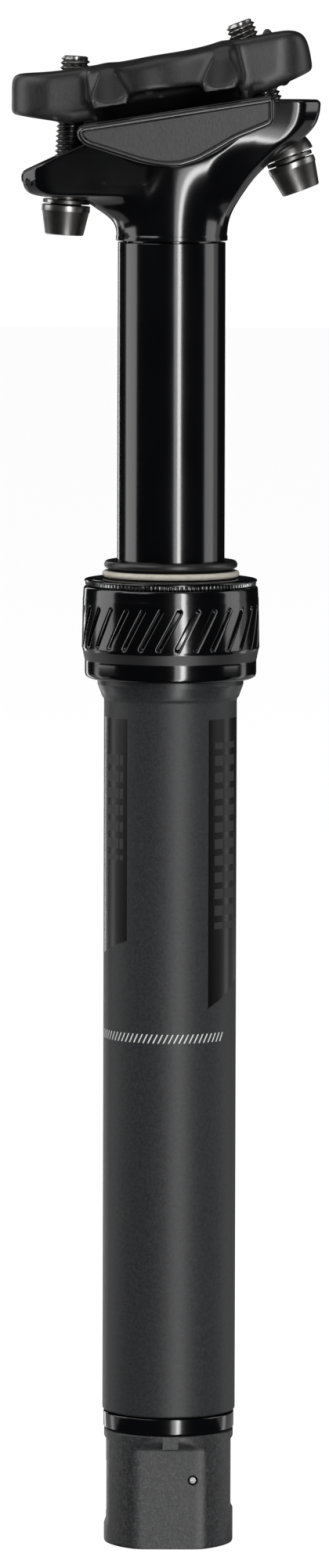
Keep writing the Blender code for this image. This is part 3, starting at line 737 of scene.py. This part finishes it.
def make_studio():
    """White room to the eye, dim to the polished parts, with tall soft lights around the post."""
    world = bpy.data.worlds.new("studio")
    bpy.context.scene.world = world
    bench = empty_bench(world)
    seen = bench.add("ShaderNodeLightPath", output="Is Camera Ray")
    pale = bench.add("ShaderNodeBackground", sockets={"Color": (1, 1, 1, 1), "Strength": 1.05})
    dim = bench.add("ShaderNodeBackground", sockets={"Color": (0.9, 0.95, 1, 1), "Strength": 0.010})
    sky = bench.add("ShaderNodeMixShader", sockets={0: seen, 1: dim, 2: pale})
    bench.add("ShaderNodeOutputWorld", sockets={"Surface": sky})
    bpy.context.scene.view_settings.view_transform = "Standard"

    softbox("tall_strip", 17, 1300, -475, 140, 3050, 15.0)
    softbox("soft_strip", 10.5, 1350, -475, 220, 3050, 5.8)
    softbox("left_wall", -97, 1100, 955, 670, 1790, 6.5)
    softbox("left_high", -52, 1150, 1000, 950, 700, 4.0, tilt=-35)
    softbox("left_foot", -118, 1100, -185, 200, 530, 0.4)
    softbox("right_wall", 89, 1100, 555, 500, 990, 2.4)
    softbox("right_fill", 109, 1100, 567, 300, 965, 0.45)
    softbox("right_foot", 116, 1100, -185, 200, 530, 0.4)
    softbox("back_strip", 207, 1300, 300, 150, 1500, 2.0)
    softbox("ceiling", 0, 1, 1500, 1200, 1200, 3.0, tilt=-90)
    softbox("table_glow", 180, 480, -5, 1300, 900, 1.2, tilt=90)


def make_floor():
    """Sheet of paper that the lights pass and the polished parts don't mirror."""
    half = 6000
    corners = [(-half, -half, 0), (half, -half, 0), (half, half, 0), (-half, half, 0)]
    floor = placed("floor", raw_mesh("floor", corners, [(0, 1, 2, 3)]))
    floor.data.materials.append(finishes["floor_paper"])
    floor.visible_glossy = False
    floor.visible_diffuse = False
    floor.visible_shadow = False


# ---------------------------------------------------------------- tubes, collar and seals


def make_tubes():
    """Outer tube with its plain top under the collar and its shoulder, and the polished stanchion."""
    shell = [
        (12.9, 194.0), (15.3, 194.0), (15.3, 178.2), (14.95, 177.9), (14.95, 176.4), (14.25, 174.5),
        (14.05, 173.9), (TUBE_RADIUS, 173.3), (TUBE_RADIUS, 27.6), (13.3, 27.3), (12.4, 27.3), (12.4, 37.5),
        (TUBE_BORE, 37.5), (TUBE_BORE, 172.0), (12.9, 172.0),
    ]
    tube = turned("outer_tube_shell", softened(shell, 0.25), "tube_satin")
    fit(tube, "outer_post", "tube_satin", "outer_tube")
    inner = [
        (9.6, 266.7), (STANCHION_RADIUS, 266.7), (STANCHION_RADIUS, 111.3), (10.5, 111.3), (10.5, 100.1),
        (STANCHION_RADIUS, 100.1), (STANCHION_RADIUS, 98.0), (9.6, 98.0),
    ]
    tube = turned("stanchion_tube", softened(inner, 0.2), "gloss_black")
    fit(tube, "saddle_post", "gloss_black", "stanchion")


COLLAR_PROFILE = (
    (15.6, 196.4), (17.42, 196.4), (17.62, 196.33), (17.77, 196.15), (17.85, 195.9), (17.88, 195.4),
    (17.95, 194.05), (18.0, 193.9), (18.17, 184.35), (18.16, 184.1), (18.1, 183.7), (18.0, 183.35),
    (17.62, 181.45), (17.56, 181.2), (17.55, 180.9), (17.55, 178.9), (17.5, 178.45), (17.35, 178.05),
    (17.05, 177.8), (16.6, 177.6), (15.6, 177.6),
)
GRIP_RADIUS = 18.1
GRIP_BAND_TOP, GRIP_TAPER = 193.9, 0.0178
GRIP_BOTTOM, GRIP_TOP = 184.55, 192.15
GRIP_HALF_RUN = 2.1
GRIP_COUNT = 30
GROOVE_HALF_WIDTH, GROOVE_ROUNDING, GROOVE_DEPTH = 0.74, 0.44, 0.62


def groove_depth(spot):
    """Depth of the slanted groove under a point (along the band, height) of one grip."""
    bottom = np.array((-GRIP_HALF_RUN, GRIP_BOTTOM))
    run = np.array((2 * GRIP_HALF_RUN, GRIP_TOP - GRIP_BOTTOM))
    share = clamped(float(np.dot(spot - bottom, run) / np.dot(run, run)))
    apart = float(np.linalg.norm(spot - bottom - run * share))
    turn = clamped((GROOVE_HALF_WIDTH - apart) / GROOVE_ROUNDING)
    return GROOVE_DEPTH * (1 - math.sqrt(1 - turn * turn))


def collar_sector():
    """One grip's share of the collar, with its slanted groove down the middle."""
    heights = [*np.arange(183.9, 185.4, 0.16), *np.arange(185.4, 191.3, 0.42), *np.arange(191.3, 193.5, 0.16)]
    outline = list(COLLAR_PROFILE[:8])
    outline += [(18.0 + (GRIP_BAND_TOP - height) * GRIP_TAPER, height) for height in reversed(heights)]
    outline += COLLAR_PROFILE[10:]
    pitch = 2 * math.pi * GRIP_RADIUS / GRIP_COUNT
    across = [-0.5 * pitch, -1.35, -1.0, -0.85, -0.74, -0.64, -0.55, -0.47, -0.41, -0.365, -0.34, 0.0]
    across += [-value for value in reversed(across[:-1])]
    slope = GRIP_HALF_RUN * 2 / (GRIP_TOP - GRIP_BOTTOM)
    vertices = []
    for radius, height in outline:
        level = min(max(height, GRIP_BOTTOM), GRIP_TOP)
        middle = (level - (GRIP_BOTTOM + GRIP_TOP) / 2) * slope
        for place in across:
            depth = groove_depth(np.array((middle + place, height))) if radius > 17.9 else 0
            angle = (middle + place) / GRIP_RADIUS
            vertices.append(((radius - depth) * math.sin(angle), -(radius - depth) * math.cos(angle), height))
    return vertices, quads(len(outline), len(across), close_rows=True)


def patch_ring(name, vertices, faces, finish, count, start=0.0, step=None):
    """Ring of copies of an open patch, closed where the copies meet."""
    piece = placed(name, raw_mesh(name, vertices, faces))
    values = {"Count": count, "Start": start, "Step": step or 360 / count, "Finish": finishes[finish]}
    grow(piece, ring_of_copies, values)
    face_outwards(piece.data)
    smooth(piece, 35)
    return piece


CAP_PROFILE = (
    (12.9, 198.0), (16.45, 198.0), (16.6, 197.92), (16.7, 197.8), (16.95, 197.8), (17.05, 197.9),
    (17.4, 197.86), (17.62, 197.75), (17.7, 197.6), (17.66, 197.45), (17.5, 197.35), (17.0, 197.32),
    (17.0, 196.7), (15.2, 196.7), (15.2, 194.3), (12.9, 194.3),
)
TOOTH_COUNT = 122
TOOTH_ROWS = ((16.9, 197.4, 0.0), (17.0, 197.4, 0.5), (17.0, 196.75, 0.5), (16.9, 196.5, 0.0))


def cap_tooth():
    """One rounded tooth of the cap and half the gap on each side of it."""
    full = 2 * math.pi / TOOTH_COUNT
    crest = [(0.36 * math.sin(turn), math.cos(turn)) for turn in np.linspace(-1.45, 1.45, 6)]
    stations = [(-0.5, 0.0), *crest, (0.5, 0.0)]
    vertices = []
    for radius, height, crown in TOOTH_ROWS:
        for place, bulge in stations:
            angle, reach = place * full, radius + crown * bulge
            vertices.append((reach * math.sin(angle), -reach * math.cos(angle), height))
    return vertices, quads(len(TOOTH_ROWS), len(stations), close_rows=True)


def make_collar():
    """Grooved grip collar and its serrated cap."""
    collar = patch_ring("grip_collar", *collar_sector(), "collar_gloss", GRIP_COUNT, start=-1.0)
    fit(collar, "outer_post", "gloss_black", "collar")
    fit(turned("cap_plate", CAP_PROFILE, "gloss_black"), "outer_post", "gloss_black", "collar_cap")
    # The teeth's bright metal colour is a painted highlight for their glints.
    teeth = patch_ring("cap_teeth", *cap_tooth(), "rubbed_teeth", TOOTH_COUNT)
    fit(teeth, "outer_post", "bright_steel", "collar_cap")


def make_seals():
    """Wiper with its lip, and the cream tension ring around it."""
    wiper = [
        (11.25, 201.4), (12.1, 201.35), (12.9, 201.7), (13.4, 201.5), (13.67, 200.9), (13.57, 200.3),
        (12.75, 199.9), (12.45, 199.7), (12.45, 198.4), (12.8, 198.02), (12.8, 189.3), (11.25, 189.3),
    ]
    fit(turned("wiper_lip", softened(wiper, 0.35), "seal_rubber"), "outer_post", "seal_rubber", "wiper_seal")
    ring = turned("tension_ring", arc((13.4, 198.95), 0.65, 0, 345, 23), "cream_ring")
    fit(ring, "outer_post", "cream_ring", "wiper_tension_ring")


def make_hash_ring():
    """Printed ring of short slanted strokes most of the way around the tube."""
    low, high, wide = 104.0, 105.8, 0.30
    proud, sunk = 0.022, 0.03
    lean = math.tan(math.radians(27))
    vertices, faces = [], []
    for skin in (TUBE_RADIUS + proud, TUBE_RADIUS - sunk):
        for height in np.linspace(low, high, 4):
            centre = (height - (low + high) / 2) * lean
            for place in (centre - wide / 2, centre, centre + wide / 2):
                angle = place / TUBE_RADIUS
                vertices.append((skin * math.sin(angle), -skin * math.cos(angle), height))
    for layer in (0, 12):
        faces += [tuple(layer + corner for corner in face) for face in quads(4, 3)]
    rim = [0, 1, 2, 5, 8, 11, 10, 9, 6, 3]
    for first, second in zip(rim, rim[1:] + rim[:1]):
        faces.append((first, second, second + 12, first + 12))
    ring = patch_ring("hash_marks", vertices, faces, "white_print", 70, start=50.5, step=-4.5)
    fit(ring, "outer_post", "tube_satin", "outer_tube")


# ---------------------------------------------------------------- foot


def make_end_cap():
    """End cap with its polished rim under the tube."""
    profile = [
        (4.3, 36.0), (12.1, 36.0), (12.1, 27.0), (13.38, 27.0), (13.38, 23.8), (9.6, 23.8), (9.6, 20.2),
        (4.3, 20.2),
    ]
    cap = turned("end_cap_rim", softened(profile, 0.25), "gloss_black")
    fit(cap, "outer_post", "gloss_black", "tube_end_cap")


HOUSING_RADIUS, HOUSING_HEIGHT = 13.35, 23.5
HOUSING_COLUMNS = 288
PIVOT = (5.0, 0, 14.2)


def housing_radius(across, along, height):
    """Distance from the axis to the housing's skin in one direction, at one height."""
    edge = HOUSING_RADIUS - 0.3 * max(0.0, (height - 23.2) / 0.3) ** 2
    if height < 0.6:
        edge -= 0.6 * (1 - math.sin(math.acos(1 - height / 0.6)))
    flat = 11.2 + 2.3 * eased((height - 20.0) / 3.1)
    recess_bottom = 6.9 if across > 0 else 3.9
    side = 13.6 - 0.75 * clamped((height - recess_bottom) / 0.5) * clamped((21.9 - height) / 0.5)
    radius = edge
    for limit, part in ((flat, abs(along)), (side, abs(across))):
        if part > 0.2:
            radius = rounded_min(radius, limit / part, 0.9)
    return radius


def housing_block():
    """Solid housing: round rim blending into flat faces, with recessed sides."""
    heights = [*np.linspace(0.0, 0.6, 6), *np.linspace(1.0, 19.4, 36), *np.linspace(19.6, HOUSING_HEIGHT, 40)]
    vertices = []
    for height in heights:
        for step in range(HOUSING_COLUMNS):
            angle = 2 * math.pi * step / HOUSING_COLUMNS
            across, along = math.sin(angle), math.cos(angle)
            radius = housing_radius(across, along, height)
            vertices.append((radius * across, -radius * along, height))
    top = (len(heights) - 1) * HOUSING_COLUMNS
    faces = quads(len(heights), HOUSING_COLUMNS, close_columns=True)
    faces += [tuple(range(HOUSING_COLUMNS - 1, -1, -1)), tuple(range(top, top + HOUSING_COLUMNS))]
    return mesh_of("actuator_body", vertices, faces, "housing_plastic")


def make_housing():
    """Moulded actuator housing with its tab, lever pocket, window, cable inlet and cross pin."""
    housing = housing_block()
    tab = [(-11.0, 20.5), (-12.95, 20.5), (-13.2, 20.8), (-13.3, 23.4), (-11.0, 23.4)]
    carve(housing, prism("tab", tab, -1.2, 2.0, "housing_plastic", axis="X"), operation="UNION")
    pocket = [(-10.6, 3.0), (10.6, 3.0), (10.6, 25.0), (-10.6, 25.0)]
    window = [(-16, 6.0), (-9, 6.0), (-9, 16.8), (-16, 16.8)]
    spigot_bore = [(0, 25), (10.0, 25), (10.0, 17.3), (0, 17.3)]
    inlet = [(0, 5), (3.05, 5), (3.05, -1), (0, -1)]
    pin_hole = arc((PIVOT[0], PIVOT[2]), 1.05, 0, 348.75, 31)
    carve(
        housing,
        prism("pocket", softened(pocket, 1.0), -5.2, 5.2, "housing_plastic"),
        turned("spigot_bore", spigot_bore, "housing_plastic", 96),
        prism("window", softened(window, 0.8), -2.6, 2.6, "housing_plastic"),
        move(turned("inlet", inlet, "housing_plastic", 48), (7.4, 0, 0)),
        prism("pin_hole", pin_hole, -16, 16, "housing_plastic"),
    )
    fit(housing, "outer_post", "housing_plastic", "actuator_housing")

    pin = [(0, 11.1), (0.62, 11.1), (0.8, 10.92), (0.8, -10.92), (0.62, -11.1), (0, -11.1)]
    pin = move(turned("cross_pin", pin, "bright_steel", 40), (0, 0, 0), math.pi / 2, "X")
    fit(move(pin, PIVOT), "outer_post", "bright_steel", "lever_pivot_pin")


# ---------------------------------------------------------------- head


UNDERSIDE_LEFT = (
    (11.3, 268.3), (11.6, 270.0), (12.7, 271.5), (15.0, 273.2), (18.0, 275.0), (22.5, 275.9),
    (27.2, 276.2), (29.6, 277.2), (30.45, 279.2), (30.7, 281.2), (30.7, 301.0),
)
UNDERSIDE_RIGHT = (
    (11.3, 268.3), (11.6, 270.6), (12.4, 273.0), (14.4, 276.4), (17.5, 280.5), (22.0, 284.6),
    (26.6, 288.0), (28.9, 290.4), (29.8, 292.4), (30.2, 295.0), (30.2, 301.0),
)
UNDERSIDE_SIDE = (
    (11.3, 268.3), (11.35, 270.0), (11.6, 272.0), (12.3, 275.0), (13.3, 278.0), (14.6, 281.0),
    (15.8, 283.6), (16.5, 285.8), (16.85, 288.0), (17.0, 290.5), (17.0, 301.0),
)
LEFT_SIDE_HEIGHTS = (268.3, 269.6, 271.0, 272.8, 274.3, 275.6, 276.6, 277.6, 278.8, 280.5, 301.0)
NECK = (
    (7.4, 271.0), (7.4, 256.0), (9.3, 256.0), (9.3, 267.0), (11.25, 267.0), (11.42, 267.15), (11.42, 267.9),
    (11.36, 268.05),
)
NECK_RADIUS, SIDE_REACH = 11.3, 5.7
TROUGH = (-1.2, 302.9, 20.5)
WING_TOP = 295.75
RIM_ROUNDING = 0.75
HEAD_COLUMNS = 288


def head_reach(angle):
    """Distance from the axis to the head's plan outline: flat flanks, chamfered noses."""
    length = 30.2 if math.cos(angle) > 0 else 30.7
    half = 12.0 - 0.5 * clamped(-math.cos(angle) / 0.4)
    low, high = 0.0, 2 * length
    for _ in range(40):
        middle = (low + high) / 2
        x, y = abs(middle * math.cos(angle)), abs(middle * math.sin(angle))
        corner = (x - length + 3.6) * 0.695 + (y - half) * 0.719
        outside = rounded_max(rounded_max(y - half, corner, 0.8), x - length, 0.8)
        low, high = (middle, high) if outside < 0 else (low, middle)
    return low


def head_top(x):
    """Height of the wings' tops and of the trough between them."""
    centre, height, radius = TROUGH
    inside = min(0.9999, abs(x - centre) / radius)
    trough = height - radius * math.sqrt(1 - inside * inside)
    wing = 279.4 + (x + 34.0) * 0.462 if x < centre else WING_TOP
    return rounded_min(trough, wing, 0.7)


def smooth_line(points):
    """Close points along a smooth line through the given points."""
    points = np.array(points, float)
    padded = np.vstack((2 * points[0] - points[1], points, 2 * points[-1] - points[-2]))
    fine = []
    for index in range(1, len(padded) - 2):
        before, first, second, after = padded[index - 1:index + 3]
        for share in np.linspace(0, 1, 12, endpoint=False):
            slope_in, slope_out = (second - before) / 2, (after - first) / 2
            fine.append(
                first * (2 * share ** 3 - 3 * share ** 2 + 1) + slope_in * (share ** 3 - 2 * share ** 2 + share)
                + second * (3 * share ** 2 - 2 * share ** 3) + slope_out * (share ** 3 - share ** 2)
            )
    return [tuple(point) for point in fine + [padded[-2]]]


def underside_line(angle):
    """Line up the underside in one direction, from the neck to well above the head's top."""
    tip = UNDERSIDE_RIGHT if math.cos(angle) > 0 else UNDERSIDE_LEFT
    toward_tip = eased((abs(math.cos(angle)) - 0.55) / 0.4)
    leftward = eased(-math.cos(angle) / 0.45)
    spread = head_reach(angle) - NECK_RADIUS
    controls = []
    for (tip_radius, tip_height), (side_radius, side_height), left_height in zip(
        tip, UNDERSIDE_SIDE, LEFT_SIDE_HEIGHTS,
    ):
        side_height += (left_height - side_height) * leftward
        tip_share = (tip_radius - NECK_RADIUS) / (tip[-1][0] - NECK_RADIUS)
        side_share = (side_radius - NECK_RADIUS) / SIDE_REACH
        part = side_share + (tip_share - side_share) * toward_tip
        controls.append((NECK_RADIUS + spread * part, side_height + (tip_height - side_height) * toward_tip))
    return smooth_line(controls)


def below_top(line, angle):
    """The part of an underside line that lies below the head's top, ending on it."""
    def is_above(point):
        return point[1] > head_top(point[0] * math.cos(angle))

    under = [line[0]]
    for point in line[1:]:
        if is_above(point):
            break
        under.append(point)
    last = under[-1]
    ahead = line[len(under)] if len(under) < len(line) else last
    for _ in range(30):
        middle = ((last[0] + ahead[0]) / 2, (last[1] + ahead[1]) / 2)
        last, ahead = (last, middle) if is_above(middle) else (middle, ahead)
    return np.array(under + [last])


def head_column(angle):
    """Outside of the head in one direction, from the neck round the rim to near the axis."""
    under = below_top(underside_line(angle), angle)
    length = np.concatenate(([0], np.cumsum(np.linalg.norm(np.diff(under, axis=0), axis=1))))
    even = np.linspace(0, length[-1] - RIM_ROUNDING, 44)
    rows = [(np.interp(at, length, under[:, 0]), np.interp(at, length, under[:, 1])) for at in even]
    start, rim = np.array(rows[-1]), under[-1]
    inward = rim[0] - RIM_ROUNDING
    end = np.array((inward, head_top(inward * math.cos(angle))))
    rows += [bend(start, rim, end, share) for share in (0.2, 0.4, 0.6, 0.8, 1.0)]
    for share in np.linspace(1, 0, 46)[1:-1]:
        radius = inward * share
        rows.append((radius, head_top(radius * math.cos(angle))))
    return rows


def make_head():
    """Forged head: flared neck, two wings with rounded undersides, trough for the clamp."""
    vertices = []
    for step in range(HEAD_COLUMNS):
        even = 2 * math.pi * step / HEAD_COLUMNS
        angle = even - 0.16 * math.sin(2 * even)
        rows = [*NECK, *head_column(angle)]
        vertices += [(radius * math.cos(angle), radius * math.sin(angle), height) for radius, height in rows]
    tall = len(rows)
    faces = quads(HEAD_COLUMNS, tall, close_rows=True)
    pocket, crown = len(vertices), len(vertices) + 1
    vertices += [(0, 0, NECK[0][1]), (0, 0, head_top(0))]
    for step in range(HEAD_COLUMNS):
        follow = (step + 1) % HEAD_COLUMNS
        faces.append((step * tall, follow * tall, pocket))
        faces.append((step * tall + tall - 1, crown, follow * tall + tall - 1))
    head = mesh_of("forged_head", vertices, faces, "forged_gloss", 40)
    seat_radius, hole_radius = 5.6, 4.0
    widest = math.degrees(math.acos(hole_radius / seat_radius))
    profile = [(0, 30), (hole_radius, 30)] + arc((0, 0), seat_radius, widest, -75, 24) + [(0, -seat_radius)]
    for label, seat, lean in (("front", FRONT_SEAT, FRONT_LEAN), ("rear", REAR_SEAT, REAR_LEAN)):
        passage = turned(f"{label}_passage", profile, "forged_gloss", 72)
        carve(head, move(passage, seat, lean), sharp=40)
    fit(head, "saddle_post", "gloss_black", "post_head")


# ---------------------------------------------------------------- clamp


CHEEK = (
    (-18.1, 290.9), (-19.0, 290.2), (-19.2, 289.3), (-18.6, 287.8), (-17.3, 286.8), (-6.3, 283.3),
    (-3.2, 282.7), (-0.7, 282.5), (1.9, 282.7), (5.5, 283.8), (9.3, 285.9), (13.1, 288.2),
    (19.2, 290.7), (20.3, 291.3), (20.7, 292.4), (20.6, 296.2), (19.8, 296.9),
)
CHEEK_STEPS = (
    (17.7, 0.0), (26.0, 0.0), (26.35, 0.06), (26.65, 0.18), (26.87, 0.38), (26.98, 0.62), (26.98, 0.86),
    (26.86, 1.06), (26.66, 1.2), (26.5, 1.3),
)
RIM_LEVEL = 26.0


def inset(outline, distance):
    """Closed outline moved inwards by a distance."""
    points = np.array(outline, float)
    along = np.roll(points, -1, axis=0) - np.roll(points, 1, axis=0)
    along /= np.linalg.norm(along, axis=1)[:, None]
    normal = np.stack((-along[:, 1], along[:, 0]), axis=1)
    area = np.sum(points[:, 0] * np.roll(points[:, 1], -1) - np.roll(points[:, 0], -1) * points[:, 1])
    return points + normal * distance * (1 if area > 0 else -1)


def rail_cutters(label):
    """Round bars where the two saddle rails run."""
    bars = []
    for side in (-1, 1):
        profile = [(0, 30), (RAIL_CHANNEL, 30), (RAIL_CHANNEL, -30), (0, -30)]
        bar = turned(f"{label}_rail_{side}", profile, "forged_black", 64)
        bars.append(move(bar, (0, side * RAIL_SIDE, RAIL_HEIGHT), math.pi / 2 - RAIL_TILT))
    return bars


def cheek(side):
    """Cheek of the lower clamp half on one side, with its raised rolled rim."""
    edge = softened(CHEEK, 1.0, 5)
    vertices = [(x, side * level, z) for level, depth in CHEEK_STEPS for x, z in inset(edge, depth)]
    count, rows = len(edge), len(CHEEK_STEPS)
    faces = quads(rows, count, close_columns=True)
    faces += [tuple(range(count)), tuple(range((rows - 1) * count, rows * count))]
    return mesh_of(f"cheek_{side}", vertices, faces, "forged_black")


def second_finish(piece, finish, chosen):
    """Give the faces that a test picks another finish."""
    piece.data.materials.append(finishes[finish])
    for face in piece.data.polygons:
        if chosen(face):
            face.material_index = 1


def make_cradle():
    """Lower clamp half: belly in the trough, and a cheek with a raised rim on each side."""
    belly = arc((TROUGH[0], TROUGH[1]), 20.2, 228, 314, 60)
    slope = math.tan(RAIL_TILT)
    left, right = belly[0][0] - 0.6, belly[-1][0] + 0.6
    web = [(left, 292.2 + left * slope), (left, belly[0][1] + 0.8)] + belly
    web += [(right, belly[-1][1] + 0.8), (right, 292.2 + right * slope)]
    cradle = prism("lower_cradle", web, -18.2, 18.2)
    for side in (-1, 1):
        carve(cradle, cheek(side), operation="UNION")
    carve(cradle, *rail_cutters("cradle"))
    shade(cradle, "forged_black", 40)
    second_finish(cradle, "rolled_rim", lambda face: (
        abs(face.center.y) > RIM_LEVEL * MM and abs(face.normal.y) < 0.98
    ))
    fit(cradle, "clamp", "forged_black", "lower_clamp")


LOBE_LEVEL = 26.6
NUT_POCKET = 4.4
YOKE_VOXEL = 0.36
YOKE_TOP = (
    (-34.0, 300.75), (-30.8, 301.0), (-25.3, 301.3), (-21.1, 301.8), (-11.7, 303.0), (-4.1, 304.4),
    (3.5, 305.7), (10.0, 307.3), (17.1, 308.8), (21.3, 309.6), (24.3, 310.0), (31.0, 310.4),
)


def yoke_field(bench):
    """Distance outside the upper clamp half: spine, decks, four lobes, less rails, nuts and bolts."""
    x, y, z = bench.place()
    lift = z - RAIL_HEIGHT
    u = x * math.cos(RAIL_TILT) + lift * math.sin(RAIL_TILT)
    w = lift * math.cos(RAIL_TILT) - x * math.sin(RAIL_TILT)
    side = abs(y)

    corner = 8.2
    past_x = abs(x + 1.85) - (30.85 - corner)
    past_y = side + (w - 4.0) * 0.05 - (10.8 - corner)
    plan = bench.distance(past_x.over(0.0), past_y.over(0.0)) + past_x.over(past_y).under(0.0) - corner
    crest = z - bench.line(x, YOKE_TOP)
    rear = (x - 29.1) * 0.96 + (z - 303.0) * 0.28
    bottom = -1.0 + (-21.0 - u).over(0.0, 2.0) * 0.32
    bottom = bottom.over(-0.95 + (u - 19.0).over(0.0, 2.0) * 0.29)
    bottom = bottom - (16.6 - abs(u)).over(0.0).under(1.0)
    bevel = (side - 10.8) * 0.85 - (w - bottom - 2.1) * 0.526
    undercut = (side - 6.0) * 0.5 - (w + 1.2) * 0.87 - (abs(u) - 13.8).over(0.0) * 3
    spine = plan.over(undercut, 0.8).over(rear.over(crest, 5.4), 3.2).over(bevel, 0.8)
    spine = spine.over((bottom - w) * 0.95, 1.6)

    scoop = (1 - ((u + 0.9) / 9.6) ** 2).over(0.0, 0.3) * 3.8
    deck_side = side + scoop + (w - 3.0) * 0.30 - 17.8
    deck = (abs(u + 0.9) - 15.4).over(deck_side, 3.0).over(crest + 0.5, 2.6).over(3.1 - u * 0.04 - w, 1.2)
    body = spine.under(deck, 2.4)

    for centre, sweep, foot, middle in ((-12.2, 0.04, 1.6, 3.8), (10.3, 0.20, 1.35, 3.7)):
        half = middle - (w - 3.6).over(0.0, 1.0) * 0.50 - (3.2 - w).over(0.0, 0.8) * 0.35
        off = abs(u - centre - (w - 3.0) * sweep)
        dish = (1 - (off / 2.9) ** 2).over(0.0, 0.3) * 0.9
        slope = (side - LOBE_LEVEL) * 0.524 + (w - foot - 1.75) * 0.852 + dish
        lobe = (off - half).over(slope, 0.9).over(crest + 0.4, 2.6).over(side - LOBE_LEVEL, 0.5)
        lobe = lobe.over(foot - w, 0.3).over(8.0 - side)
        body = body.under(lobe, 2.8)

    rail = bench.distance(side - RAIL_SIDE, w) - RAIL_CHANNEL
    body = body.over(0 - rail, 0.4)
    for (nut_x, _, nut_z), lean in ((FRONT_NUT, FRONT_LEAN), (REAR_NUT, REAR_LEAN)):
        off_x, off_z = x - nut_x, z - nut_z
        pocket = (bench.distance(off_x, off_z) - NUT_POCKET).over(-7.8 - y)
        across = off_x * math.cos(lean) - off_z * math.sin(lean)
        slot = bench.distance(across / 1.15, y / 0.9) - 4.1
        body = body.over(0 - pocket, 0.3).over(0 - slot, 0.7)
    for spot_x, spot_y, spot_z in ((19.3, -6.0, 309.4), (22.8, -7.5, 299.6)):
        knob = bench.distance(bench.distance(x - spot_x, z - spot_z), y - spot_y) - 0.9
        body = body.under(knob, 0.5)
    return body


def make_yoke():
    """Upper clamp half, sculpted as one soft-edged forging."""
    low, high = (-34, -28, 288), (31, 28, 312)
    yoke = sculpt("upper_yoke", yoke_field, low, high, YOKE_VOXEL, "forged_black")
    second_finish(yoke, "milled_foot", lambda face: (
        abs(face.center.y) > (LOBE_LEVEL - 0.25) * MM and abs(face.normal.y) > 0.9
    ))
    fit(yoke, "clamp", "forged_black", "upper_clamp")


# ---------------------------------------------------------------- bolts


BOLT_HEAD, BOLT_SHOULDER, BOLT_TIP = -7.5, -1.4, 29.1
THREAD_PITCH, THREAD_DEPTH, THREAD_RADIUS = 1.0, 0.55, 3.0


def make_screw(label):
    """Cap screw along Z with its thread and hexagon socket, its domed seat about the origin."""
    tip, under, head = BOLT_TIP, BOLT_SHOULDER, BOLT_HEAD
    profile = [(0, tip), (2.2, tip), (2.6, tip - 0.2), (THREAD_RADIUS, tip - 0.7)]
    profile += [(THREAD_RADIUS, height) for height in np.arange(tip - 0.8, under + 1.6, -0.1)]
    profile += [(THREAD_RADIUS, under + 0.35), (3.2, under + 0.08), (3.5, under), (4.8, under)]
    profile += [(4.95, under - 0.15), (4.95, under - 1.15), (4.9, under - 1.3), (4.78, under - 1.45)]
    profile += [(3.95, head + 0.25), (3.85, head + 0.08), (3.65, head), (0, head)]
    screw = turned(f"{label}_screw", profile, "dark_steel", 48, 35)
    grow(screw, screw_thread, {
        "Pitch": THREAD_PITCH, "Depth": THREAD_DEPTH, "Bottom": under + 1.8, "Top": tip + 0.6,
        "Finish": finishes["dark_steel"],
    })
    socket = [(0, head + 3.4), (2.9, head + 3.0), (2.9, head - 1), (0, head - 1)]
    carve(screw, turned("socket", socket, "dark_steel", 6), sharp=35)
    return screw


def make_bolts():
    """Clamp bolts with their flat and domed washers and their barrel nuts."""
    flat = softened([(3.4, -0.3), (4.8, -0.3), (4.8, -1.1), (3.4, -1.1)], 0.15)
    dome = arc((0, 0), 5.3, 47, 5, 20) + [(5.3, 0.1), (5.2, 0.0), (3.4, 0.0), (3.4, 3.88)]
    cross = [(0, 7.5), (3.8, 7.5), (4.1, 7.2), (4.1, -7.2), (3.8, -7.5), (0, -7.5)]
    bore = [(0, 8), (3.3, 8), (3.3, -8), (0, -8)]
    for label, seat, nut, lean in (
        ("front", FRONT_SEAT, FRONT_NUT, FRONT_LEAN), ("rear", REAR_SEAT, REAR_NUT, REAR_LEAN),
    ):
        body = f"{label}_bolt"
        fit(move(make_screw(label), seat, lean), body, "dark_steel", body)
        washer = move(turned(f"{label}_flat_washer", flat, "dark_steel", 96), seat, lean)
        fit(washer, body, "dark_steel", f"{label}_bolt_washer")
        washer = move(turned(f"{label}_dome_washer", dome, "dark_steel", 96), seat, lean)
        fit(washer, body, "dark_steel", f"{label}_bolt_domed_washer")
        barrel = move(turned(f"{label}_barrel_nut", cross, "bright_steel", 64), (0, 0, 0), math.pi / 2, "X")
        carve(barrel, turned("bore", bore, "bright_steel", 48))
        fit(move(barrel, nut, lean), f"{label}_nut", "bright_steel", f"{label}_nut")


# ---------------------------------------------------------------- parts kept from the CAD


CAD_FINISHES = {
    "bush_polymer": ("upper_bushing", "lower_bushing"),
    "bright_steel": ("cartridge_shaft", "valve_pin"),
    "bare_alloy": (
        "cartridge_piston", "cartridge_cylinder", "cartridge_seal_head", "floating_piston", "actuator_lever",
    ),
    "key_brass": ("anti_rotation_key_1", "anti_rotation_key_2", "anti_rotation_key_3"),
    "seal_rubber": ("bottom_bumper",),
    "dark_steel": ("shaft_nut", "cartridge_retaining_ring"),
}


def dress_cad_parts():
    """Give the inner parts, which keep their CAD meshes, their finishes."""
    for finish, nodes in CAD_FINISHES.items():
        for node in nodes:
            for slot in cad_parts[node].material_slots:
                slot.material = finishes[finish]


make_camera()
make_studio()
make_floor()
ring_of_copies = ring_tree()
screw_thread = thread_tree()
make_tubes()
make_collar()
make_seals()
make_hash_ring()
make_end_cap()
make_housing()
make_head()
make_cradle()
make_yoke()
make_bolts()
dress_cad_parts()
